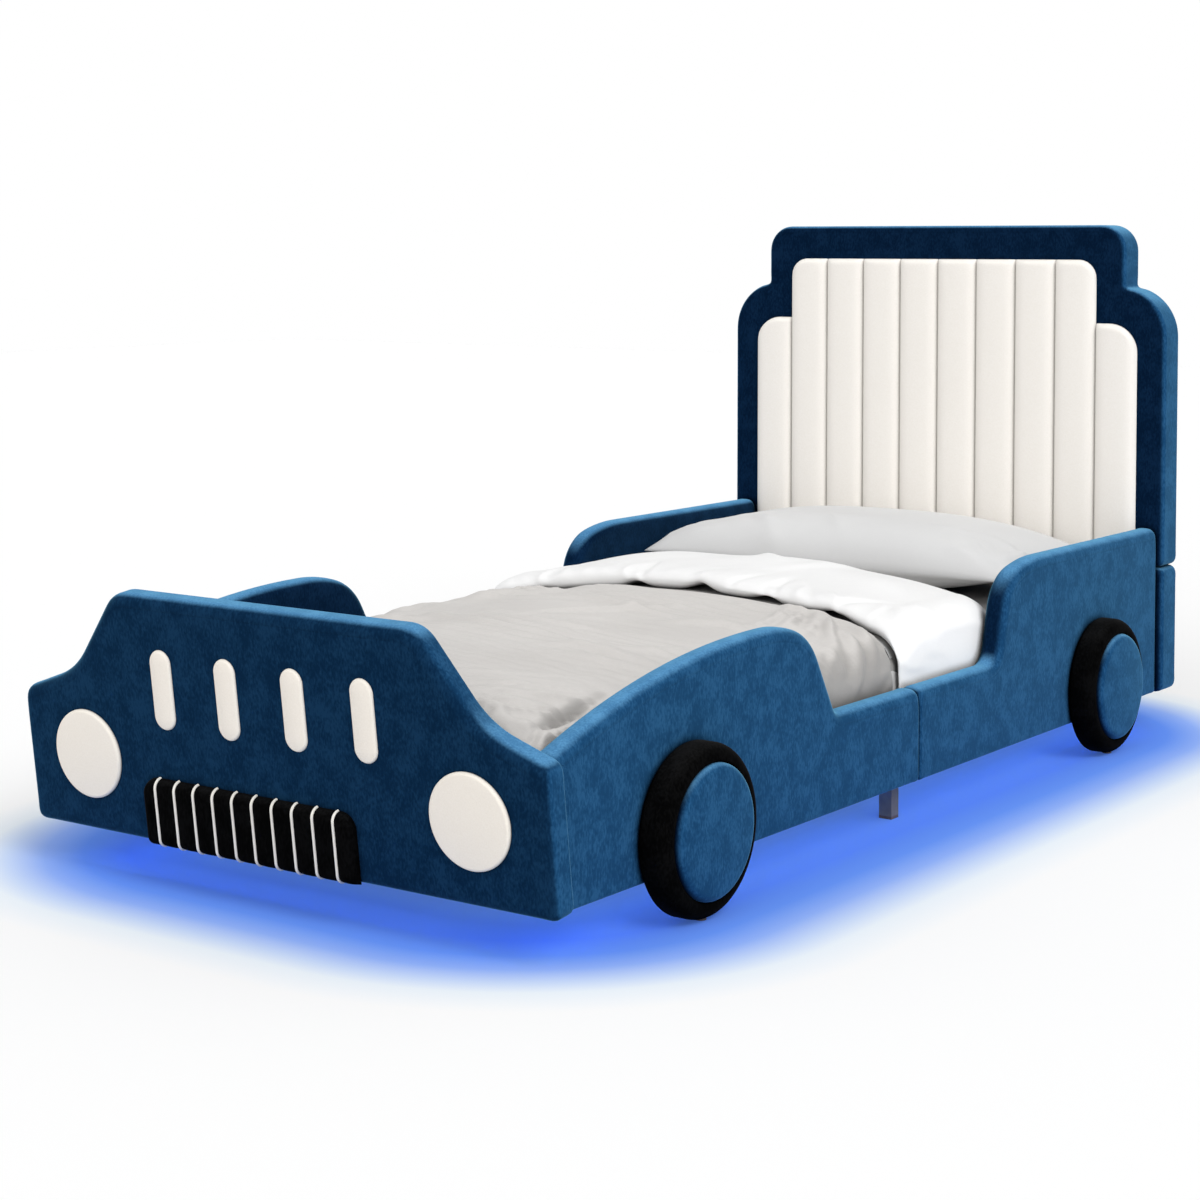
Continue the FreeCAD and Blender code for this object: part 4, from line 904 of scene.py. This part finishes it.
cord_curve = bpy.data.curves.new("grille_cords", "CURVE")
cord_curve.dimensions = "3D"
cord_curve.bevel_depth = CORD_RADIUS
cord_curve.bevel_resolution = 4
cord_curve.use_fill_caps = True
cord_curve.materials.append(cream_cord)
for x in cord_places:
    spline = cord_curve.splines.new("POLY")
    spline.points.add(CORD_POINTS - 1)
    for point, up in zip(spline.points, GRILLE_HEIGHT * spread(CORD_POINTS)):
        point.co = (*on_panel(x, up, grille_depth(x, up, GRILLE_HEIGHT) + CORD_LIFT), 1.0)
    spline.use_smooth = True
cords = bpy.data.objects.new("grille_cords", cord_curve)
scene.collection.objects.link(cords)
settle(cords, "frame", "cream_cord", "grille_piping")

# Mattress: an even mesh with softened edges and a slightly uneven face

MATTRESS_SWELL = 0.0015
MATTRESS_WAVE = 0.2
mattress = bpy.data.objects.new("soft_mattress", cad_nodes["mattress"].data.copy())
scene.collection.objects.link(mattress)
modify(mattress, "REMESH", mode="VOXEL", voxel_size=0.012)
modify(mattress, "SHRINKWRAP", target=cad_nodes["mattress"])
modify(mattress, "SMOOTH", iterations=3, factor=0.5)
bake_modifiers(mattress)
mattress_points = points_of(mattress)
mattress_relief = MATTRESS_SWELL * ripples(mattress_points, MATTRESS_WAVE, 60)
set_points(mattress, mattress_points + normals_of(mattress) * mattress_relief[:, None])
mattress.data.materials.clear()
mattress.data.materials.append(mattress_cloth)
settle(mattress, "mattress", "mattress_cover", "mattress")


# Cloth helpers

CLOTH_SETTINGS = {
    "quality": 6,
    "mass": 0.3,
    "tension_stiffness": 25.0,
    "compression_stiffness": 25.0,
    "shear_stiffness": 10.0,
    "bending_stiffness": 1.2,
    "shrink_min": -0.04,
}
CLOTH_GAP = 0.002
CLOTH_FRAMES = 25
CLOTH_REACH = 0.009


def drape(piece, held, core):
    """Let cloth that is a little too large settle on a core, then keep its movement within a limit."""
    before = points_of(piece)
    piece.vertex_groups.new(name="held").add(held, 1.0, "REPLACE")
    cloth = modify(piece, "CLOTH")
    for name, value in CLOTH_SETTINGS.items():
        setattr(cloth.settings, name, value)
    cloth.settings.vertex_group_mass = "held"
    cloth.collision_settings.distance_min = CLOTH_GAP
    cloth.point_cache.frame_end = CLOTH_FRAMES
    modify(core, "COLLISION")
    core.collision.thickness_outer = CLOTH_GAP
    for number in range(1, CLOTH_FRAMES + 1):
        scene.frame_set(number)
    bake_modifiers(piece)
    scene.frame_set(1)
    moved = points_of(piece) - before
    length = np.linalg.norm(moved, axis=1, keepdims=True)
    moved *= np.minimum(1.0, CLOTH_REACH / np.maximum(length, 1e-9))
    set_points(piece, before + moved)


def finer_sheet(points, grid):
    """The points of a grid with a new one between each two, along both ways."""
    lattice = np.reshape(points, (*grid, -1))
    for axis in (0, 1):
        lines = np.moveaxis(lattice, axis, 0)
        longer = np.concatenate([2 * lines[:1] - lines[1:2], lines, 2 * lines[-1:] - lines[-2:-1]])
        doubled = np.empty((2 * len(lines) - 1, *lines.shape[1:]))
        doubled[::2] = lines
        doubled[1::2] = (9 * (longer[1:-2] + longer[2:-1]) - longer[:-3] - longer[3:]) / 16
        lattice = np.moveaxis(doubled, 0, axis)
    return lattice.reshape(-1, lattice.shape[-1])


def finer_grid(grid):
    """How many columns and rows a finer sheet has."""
    return tuple(2 * count - 1 for count in grid)


def drawn(chance, *spans):
    """One random number from each span."""
    return [chance.uniform(*span) for span in spans]


def creases(across, along, strokes):
    """Height of soft creases over cloth.

    Each stroke is the place of its middle, its way, its length, width and height, and its bow.
    """
    total = np.zeros(len(across))
    for middle_x, middle_y, way, length, width, height, bow in strokes:
        step_x = across - middle_x
        step_y = along - middle_y
        lengthways = step_x * math.cos(way) + step_y * math.sin(way)
        crossways = step_y * math.cos(way) - step_x * math.sin(way) + bow * lengthways**2
        fade = np.exp(-((lengthways / length) ** 2) * 2)
        total += height * fade * np.exp(-((crossways / width) ** 2))
    return total


def flat_ripples(across, along, wavelength, seed):
    return ripples(np.stack([across, along, 0 * across], axis=1), wavelength, seed)


# Duvet

DUVET_LOW, DUVET_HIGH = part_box("duvet")
DUVET_FOOT = DUVET_LOW.y
DUVET_HEAD = DUVET_HIGH.y
DUVET_HEM = 0.197
DUVET_HALF = 0.458
WELL_HALF = 0.4685
# Half width, edge height, crown and corner radius of the duvet and of the hollow under it
DUVET_FORM = (DUVET_HALF, 0.324, 0.042, 0.058)
UNDER_FORM = (0.4515, 0.2845, 0.008, 0.022)
ROLL = 0.045
ROLL_FOOT = 0.35
WALL_POINTS = 60
TURN_POINTS = 80
ARCH_POINTS = 400
HEAD_GAP = 0.012
CORE_SINK = 0.004
DUVET_GRID = (95, 125)
DUVET_SWELL = 0.004
DUVET_WAVE = 0.3
FOLD_LENGTH = 0.385
FOLD_FRONT = DUVET_HEAD - FOLD_LENGTH
FOLD_BOW = 0.03
LIP_SWELL = 0.005
LIP_WAVE = 0.15
VALLEY_DEPTH = 0.008
VALLEY_WIDTH = 0.022
VALLEY_LEAD = 0.004
SIDE_GAP_DEPTH = 0.02
SIDE_GAP_WIDTH = 0.013
SIDE_GAP_PLACES = (0.36, 0.42)
COVER_REACH = 0.03
COVER_DEPTH = 0.011
HEM_FADE = 0.03
# Spans of length, width and height
LONG_CREASES = ((0.1, 0.28), (0.010, 0.022), (0.004, 0.0095))
EDGE_CREASES = ((0.05, 0.12), (0.009, 0.015), (0.004, 0.009))
FAN_CREASES = ((0.07, 0.13), (0.009, 0.013), (0.007, 0.014))
# Where each fan starts, which way it runs along the bed and how strong it is
FANS = ((FOLD_FRONT, -1.0, 1.0), (DUVET_FOOT + 0.03, 1.0, 0.35))
# One deep crease by the right front corner, and the calm cloth round it
CORNER_FOLD = (0.408, -0.87, -1.42, 0.14, 0.012, -0.021, 0.0)
CORNER_CALM = (0.408, -0.9, -1.42, 0.25, 0.07, 1.0, 0.0)


def hood_profile(form, count):
    """Even points and outward normals over a soft slab, from one hem over the top to the other."""
    half, edge, crown, corner = form
    run = half - corner
    upright = np.linspace(DUVET_HEM, edge - corner, WALL_POINTS)
    turn = np.linspace(0, math.pi / 2, TURN_POINTS)
    level = np.linspace(-run, run, ARCH_POINTS)
    wall = np.stack([0 * upright - half, upright], axis=1)
    round_edge = np.stack([-run - corner * np.cos(turn), edge - corner + corner * np.sin(turn)], axis=1)
    arch = np.stack([level, edge + crown * (1 - (level / run) ** 2)], axis=1)
    path = np.concatenate([wall, round_edge, arch, round_edge[::-1] * (-1, 1), wall[::-1] * (-1, 1)])
    points = resampled(path, np.linspace(0, 1, count))
    way = np.gradient(points, axis=0)
    way /= np.linalg.norm(way, axis=1, keepdims=True)
    return points, np.stack([-way[:, 1], way[:, 0]], axis=1)


def hood(profile, places):
    """Grid of a profile drawn along the bed, rounded down towards both ends."""
    ends = np.minimum(places - places[0], places[-1] - places)
    rise = ROLL_FOOT + (1 - ROLL_FOOT) * rounded(ends, ROLL)
    points = []
    for x, z in profile:
        for y, share in zip(places, rise):
            points.append((x, y, DUVET_HEM + (z - DUVET_HEM) * share))
    return np.array(points)


def lip_place(across):
    """Where the folded band's front edge lies along the bed: a shallow bow with small waves."""
    bow = FOLD_BOW * np.cos(math.pi / 2 * ramped(np.abs(across), 0, DUVET_HALF))
    return FOLD_FRONT + bow + LIP_SWELL * flat_ripples(across, 0 * across, LIP_WAVE, 21)


def duvet_strokes():
    """Long shallow creases across the bed, short ones over its edges and a fan at each corner."""
    chance = np.random.default_rng(8)
    strokes = []
    for _ in range(30):
        middle = drawn(chance, (-0.4, 0.4), (-0.95, 0.0))
        way = chance.normal(0.15, 0.4)
        size = drawn(chance, *LONG_CREASES)
        strokes.append((*middle, way, *size, chance.normal(0, 0.6)))
    for side in (-1, 1):
        for place in np.arange(-0.92, 0.0, 0.055):
            middle = (side * chance.uniform(0.4, 0.47), place + chance.uniform(-0.025, 0.025))
            way = side * chance.normal(-0.25, 0.3)
            size = drawn(chance, *EDGE_CREASES)
            strokes.append((*middle, way, *size, chance.normal(0, 2.0)))
        for corner, reach, strength in FANS:
            for step in range(7):
                middle = (side * (0.44 - 0.028 * step), corner + reach * chance.uniform(0.05, 0.13))
                way = side * reach * (0.5 + 0.15 * step)
                length, width, height = drawn(chance, *FAN_CREASES)
                bow = side * chance.normal(1.0, 1.0)
                strokes.append((*middle, way, length, width, strength * height, bow))
    return strokes


def pushed(points, out_x, out_z, relief):
    """Cloth moved along its outward ways, but not past the rails."""
    points[:, 0] = np.clip(points[:, 0] + out_x * relief, -WELL_HALF, WELL_HALF)
    points[:, 2] += out_z * relief
    return points


duvet_columns, duvet_rows = DUVET_GRID
duvet_places = np.linspace(DUVET_FOOT, DUVET_HEAD - HEAD_GAP, duvet_rows)
duvet_profile, duvet_normals = hood_profile(DUVET_FORM, duvet_columns)
under_profile, _ = hood_profile(UNDER_FORM, duvet_columns)
duvet_plain = hood(duvet_profile, duvet_places)
duvet_under = hood(under_profile, duvet_places)
duvet_half = distances(duvet_profile)[-1] / 2
duvet_faces = sheet_faces(*DUVET_GRID)
duvet_skin = new_piece("duvet_skin", duvet_plain, duvet_faces, duvet_grey)
duvet_core = new_piece("duvet_core", duvet_plain - (0, 0, CORE_SINK), duvet_faces, duvet_grey)
drape(duvet_skin, border(*DUVET_GRID), duvet_core)
bpy.data.objects.remove(duvet_core)
duvet_flat = np.stack([
    np.repeat(np.linspace(-duvet_half, duvet_half, duvet_columns), duvet_rows),
    np.tile(duvet_places, duvet_columns),
    *np.repeat(duvet_normals, duvet_rows, axis=0).T,
], axis=1)
duvet_across, duvet_along, duvet_out_x, duvet_out_z = finer_sheet(duvet_flat, DUVET_GRID).T
past_lip = duvet_along - lip_place(duvet_across)
side_share = ramped(np.abs(duvet_across), *SIDE_GAP_PLACES)
covered = ramped(past_lip, 0, COVER_REACH)
duvet_relief = creases(duvet_across, duvet_along, duvet_strokes())
duvet_relief *= 1 - creases(duvet_across, duvet_along, [CORNER_CALM])
duvet_relief += creases(duvet_across, duvet_along, [CORNER_FOLD])
duvet_relief += DUVET_SWELL * flat_ripples(duvet_across, duvet_along, DUVET_WAVE, 5)
duvet_relief -= VALLEY_DEPTH * np.exp(-(((past_lip + VALLEY_LEAD) / VALLEY_WIDTH) ** 2))
duvet_relief -= SIDE_GAP_DEPTH * side_share * np.exp(-((past_lip / SIDE_GAP_WIDTH) ** 2))
duvet_relief *= ramped(duvet_half - np.abs(duvet_across), 0, HEM_FADE)
duvet_relief += covered * (-COVER_DEPTH - duvet_relief)
duvet_over = finer_sheet(points_of(duvet_skin), DUVET_GRID)
duvet_over += covered[:, None] * (finer_sheet(duvet_plain, DUVET_GRID) - duvet_over)
duvet_over = pushed(duvet_over, duvet_out_x, duvet_out_z, duvet_relief)
duvet_under = finer_sheet(duvet_under, DUVET_GRID)
bpy.data.objects.remove(duvet_skin)
duvet = closed_sheet("duvet_cover", duvet_over, duvet_under, finer_grid(DUVET_GRID), duvet_grey)
settle(duvet, "duvet", "duvet_cloth", "duvet")

# White band: the head end of the duvet folded back

FOLD_RISE = 0.028
FOLD_THICKNESS = 0.012
FOLD_HEM_DROP = 0.001
FOLD_POINTS = 400
FOLD_ROUNDS = 40
FOLD_GRID = (121, 60)
FOLD_SWELL = 0.005
FOLD_WAVE = 0.26
FOLD_HEIGHTS = (0.004, 0.016)
FOLD_FADE = 0.08
SIDE_SHARE = 0.3
GATHERS = ((0.04, 0.13), (0.007, 0.014), (-0.006, 0.007))
SLANTING_CREASES = ((0.08, 0.18), (0.014, 0.028), (0.002, 0.006))
LIP_GAPS = ((-0.34, 0.04, 0.5), (-0.13, 0.03, 0.8), (0.02, 0.03, 1.0), (0.17, 0.03, 0.8), (0.32, 0.05, 1.0))


def lip_gap(x):
    """How far the lip stands open over the duvet, from 0 to 1."""
    return sum(size * math.exp(-(((x - middle) / width) ** 2)) for middle, width, size in LIP_GAPS)


def fold_path(gap, count):
    """Even points along the fold from under its front lip, over the top and down behind: (place, height)."""
    knots = np.array([
        (0.120, -0.012),
        (0.080, -0.008 + 0.012 * gap),
        (0.030, -0.008 + 0.014 * gap),
        (0.008, -0.007 + 0.015 * gap),
        (0.000, 0.005 + 0.009 * gap),
        (0.001, 0.016),
        (0.012, 0.025),
        (0.035, FOLD_RISE),
        (0.200, FOLD_RISE + 0.003),
        (0.330, FOLD_RISE + 0.002),
        (0.365, 0.018),
        (0.383, -0.004),
        (FOLD_LENGTH, -0.030),
    ])
    path = resampled(knots, np.linspace(0, 1, FOLD_POINTS))
    for _ in range(FOLD_ROUNDS):
        path[1:-1] = (path[:-2] + 2 * path[1:-1] + path[2:]) / 4
    return resampled(path, np.linspace(0, 1, count))


def fold_strokes():
    """Gathers that run back from the lip, and a few slanting creases."""
    chance = np.random.default_rng(3)
    strokes = []
    for place in np.arange(-0.55, 0.55, 0.032):
        middle = (place + chance.uniform(-0.02, 0.02), chance.uniform(0.0, 0.06))
        way = math.pi / 2 + chance.normal(0.0, 0.35)
        size = drawn(chance, *GATHERS)
        strokes.append((*middle, way, *size, chance.normal(0, 2.5)))
    for _ in range(9):
        middle = drawn(chance, (-0.45, 0.45), (0.1, 0.33))
        way = chance.uniform(0, math.pi)
        size = drawn(chance, *SLANTING_CREASES)
        strokes.append((*middle, way, *size, chance.normal(0, 1.0)))
    return strokes


fold_columns, fold_rows = FOLD_GRID
fold_profile, fold_normals = hood_profile(DUVET_FORM, fold_columns)
fold_half = distances(fold_profile)[-1] / 2
fold_places = np.linspace(-fold_half, fold_half, fold_columns)
fold_lips = lip_place(fold_places)
fold_over = []
fold_under = []
fold_flat = []
for (x, z), (out_x, out_z), across, front in zip(fold_profile, fold_normals, fold_places, fold_lips):
    level = abs(out_z)
    share = SIDE_SHARE + (1 - SIDE_SHARE) * level
    for place, height in fold_path(lip_gap(x), fold_rows):
        raised = height * share if height > 0 else height * level
        y = front + place * (FOLD_FRONT + FOLD_LENGTH - front) / FOLD_LENGTH
        fold_over.append((x + out_x * raised, y, max(z + out_z * raised, DUVET_HEM)))
        low = min(height, 0.0) * level - FOLD_THICKNESS
        fold_under.append((x + out_x * low, y, max(z + out_z * low, DUVET_HEM - FOLD_HEM_DROP)))
        fold_flat.append((across, place, height, out_x, out_z))
fold_across, fold_along, fold_height, fold_out_x, fold_out_z = finer_sheet(fold_flat, FOLD_GRID).T
fold_relief = creases(fold_across, fold_along, fold_strokes())
fold_relief += FOLD_SWELL * flat_ripples(fold_across, fold_along, FOLD_WAVE, 9)
fold_relief *= ramped(fold_height, *FOLD_HEIGHTS)
fold_relief *= ramped(fold_half - np.abs(fold_across), 0, FOLD_FADE)
fold_over = pushed(finer_sheet(fold_over, FOLD_GRID), fold_out_x, fold_out_z, fold_relief)
fold_under = finer_sheet(fold_under, FOLD_GRID)
fold = closed_sheet("duvet_fold", fold_over, fold_under, finer_grid(FOLD_GRID), duvet_white)
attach(fold, "duvet")

# Pillow: two stuffed sheets sewn together round their edge, which draws in between the corners

PILLOW_LOW, PILLOW_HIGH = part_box("pillow")
PILLOW_TALL = PILLOW_HIGH.z - PILLOW_LOW.z
PILLOW_GRID = (61, 35)
PILLOW_HALF = 0.4425
PILLOW_SHIFT = -0.0225
PILLOW_WAIST = 0.02
PILLOW_SEAM = 0.375
PILLOW_SQUARENESS = (2.6, 4)
CROWN_POWER = 0.58
UNDERSIDE_POWER = 1.5
CREASED_SHARES = (0.3, 1.9 / 3)
CORNER_CREASES = ((0.05, 0.09), (0.008, 0.013), (0.003, 0.007))
MIDDLE_CREASES = ((0.06, 0.14), (0.012, 0.02), (0.002, 0.005))


def pillow_strokes():
    """Creases that fan out from the front corners, and a few over the middle."""
    chance = np.random.default_rng(14)
    strokes = []
    for side in (-1, 1):
        for step in range(6):
            way = side * (2.9 - 0.3 * step)
            reach = chance.uniform(0.05, 0.11)
            spot_x = PILLOW_SHIFT + side * (PILLOW_HALF - 0.03 - reach * abs(math.cos(way)))
            spot_y = PILLOW_LOW.y + 0.02 + reach * abs(math.sin(way))
            size = drawn(chance, *CORNER_CREASES)
            strokes.append((spot_x, spot_y, way, *size, chance.normal(0, 1.5)))
    for _ in range(8):
        spot = drawn(chance, (-0.35, 0.35), (PILLOW_LOW.y + 0.02, PILLOW_LOW.y + 0.2))
        size = drawn(chance, *MIDDLE_CREASES)
        strokes.append((*spot, chance.normal(0.0, 0.6), *size, chance.normal(0, 1.0)))
    return strokes


pillow_columns, pillow_rows = PILLOW_GRID
across = np.repeat(np.linspace(-1, 1, pillow_columns), pillow_rows)
along = np.tile(np.linspace(-1, 1, pillow_rows), pillow_columns)
plump = (1 - np.abs(across) ** PILLOW_SQUARENESS[0]) * (1 - along ** PILLOW_SQUARENESS[1])
pillow_x = PILLOW_SHIFT + PILLOW_HALF * across * (1 - PILLOW_WAIST * (1 - along**2))
pillow_y = along * (1 - 2 * PILLOW_WAIST * (1 - across**2)) * (PILLOW_HIGH.y - PILLOW_LOW.y) / 2
pillow_y += (PILLOW_HIGH.y + PILLOW_LOW.y) / 2
crown_z = PILLOW_SEAM + (1 - PILLOW_SEAM) * plump**CROWN_POWER
underside_z = PILLOW_SEAM - PILLOW_SEAM * plump**UNDERSIDE_POWER
pillow_sheets = []
for share in (crown_z, underside_z):
    pillow_sheets.append(np.stack([pillow_x, pillow_y, PILLOW_LOW.z + PILLOW_TALL * share], axis=1))
pillow_faces = sheet_faces(*PILLOW_GRID) + sheet_faces(*PILLOW_GRID, len(plump), turned=True)
pillow = new_piece("pillow_case", np.concatenate(pillow_sheets), pillow_faces, pillow_cloth)
tidy_mesh(pillow)
modify(pillow, "SUBSURF", levels=1, render_levels=1)
bake_modifiers(pillow)
pillow_points = points_of(pillow)
above_seam = ramped((pillow_points[:, 2] - PILLOW_LOW.z) / PILLOW_TALL, *CREASED_SHARES)
pillow_relief = creases(pillow_points[:, 0], pillow_points[:, 1], pillow_strokes()) * above_seam
set_points(pillow, pillow_points + normals_of(pillow) * pillow_relief[:, None])
settle(pillow, "pillow", "pillow_cloth", "pillow")

# Floor, with a painted pool of light: the strips' blue laid on as colour that fades out round the bed

FLOOR_HALF = 15.0
FLOOR_LEVEL = -0.0005
# Place, size and reach of the painted pool of light, and its colours from the bed outwards.
POOL_MIDDLE = (-0.015, 0.06, 0.0)
POOL_HALF = (0.235, 0.775, 1.0)
FLOOR_LIT = 0.75
FLOOR_GLOW = 0.27
POOL_REACH = 0.7
PAINTED_GLOW_COLOURS = (
    (0.2, (0.22, 0.43, 0.94)),
    (0.31, (0.15, 0.32, 0.88)),
    (0.43, (0.115, 0.265, 0.94)),
    (0.54, (0.145, 0.315, 0.94)),
    (0.63, (0.29, 0.45, 0.94)),
    (0.72, (0.6, 0.715, 0.94)),
    (0.78, (0.82, 0.88, 0.94)),
    (0.9, (0.94, 0.94, 0.94)),
)


def seen_plainly(tree):
    """1 for what the camera, a shiny face or clear glass shows, and 0 for light on the bed."""
    path = shade(tree, "LightPath", {})
    total = path["Is Camera Ray"]
    for ray in ("Is Glossy Ray", "Is Transmission Ray"):
        total = shade(tree, "Math", {0: total, 1: path[ray]}, use_clamp=True)["Value"]
    return total


floor_material, floor_tree, floor_shader = new_material("floor", roughness=0.95, specular=0.0)
outward = shade(floor_tree, "TexCoord", {})["Object"]
steps = (("SUBTRACT", POOL_MIDDLE), ("ABSOLUTE", (0, 0, 0)), ("SUBTRACT", POOL_HALF), ("MAXIMUM", (0, 0, 0)))
for operation, value in steps:
    outward = shade(floor_tree, "VectorMath", {0: outward, 1: value}, operation=operation)["Vector"]
beyond = shade(floor_tree, "VectorMath", {0: outward}, operation="LENGTH")["Value"]
reach = shade(floor_tree, "MapRange", {"Value": beyond, "From Max": POOL_REACH})["Result"]
floor_and_painted_glow = ramp(floor_tree, reach, *zip(*PAINTED_GLOW_COLOURS))
# The floor glows for the camera only, in its own white with the painted pool of light.
glow = shade(floor_tree, "Math", {0: seen_plainly(floor_tree), 1: FLOOR_GLOW}, operation="MULTIPLY")
feed(floor_shader, {
    "Base Color": dimmed(floor_tree, floor_and_painted_glow, FLOOR_LIT),
    "Emission Color": floor_and_painted_glow,
    "Emission Strength": glow["Value"],
})
floor_corners = [
    (x * FLOOR_HALF, y * FLOOR_HALF, FLOOR_LEVEL) for x, y in ((-1, -1), (1, -1), (1, 1), (-1, 1))
]
floor = new_piece("floor", floor_corners, [(0, 1, 2, 3)], floor_material)

# World and lamps

WORLD_LIGHT = 0.6
world = bpy.data.worlds.new("world")
scene.world = world
world.use_nodes = True
sky = world.node_tree.nodes["Background"]
feed(sky, {"Color": WHITE, "Strength": WORLD_LIGHT})
backdrop = shade(world.node_tree, "Background", {"Color": WHITE, "Strength": 1.0})["Background"]
chosen = {"Fac": seen_plainly(world.node_tree), 1: sky.outputs["Background"], 2: backdrop}
surface = shade(world.node_tree, "MixShader", chosen)["Shader"]
feed(world.node_tree.nodes["World Output"], {"Surface": surface})


def sun(name, towards, strength, spread_angle):
    """A lamp far away that shines from the given way towards the bed."""
    lamp = bpy.data.lights.new(name, "SUN")
    lamp.energy = strength
    lamp.angle = math.radians(spread_angle)
    holder = bpy.data.objects.new(name, lamp)
    holder.rotation_mode = "QUATERNION"
    holder.rotation_quaternion = Vector(towards).to_track_quat("Z", "Y")
    scene.collection.objects.link(holder)


sun("key", towards=(0.72, -0.25, 0.65), strength=1.7, spread_angle=35.0)
sun("fill", towards=(0.05, -0.85, 0.5), strength=0.7, spread_angle=60.0)

# Camera

CAMERA_PLACE = (2.5199, -3.7172, 1.0149)
CAMERA_YAW = math.radians(35.84)
CAMERA_PITCH = math.radians(2.793)
camera_data = bpy.data.cameras.new("camera")
camera_data.sensor_width = 36.0
camera_data.lens = 72.718
camera_data.shift_y = -0.2
camera = bpy.data.objects.new("camera", camera_data)
camera.location = CAMERA_PLACE
camera.rotation_euler = (math.pi / 2 - CAMERA_PITCH, 0.0, CAMERA_YAW)
scene.collection.objects.link(camera)
scene.camera = camera
scene.view_settings.view_transform = "Standard"
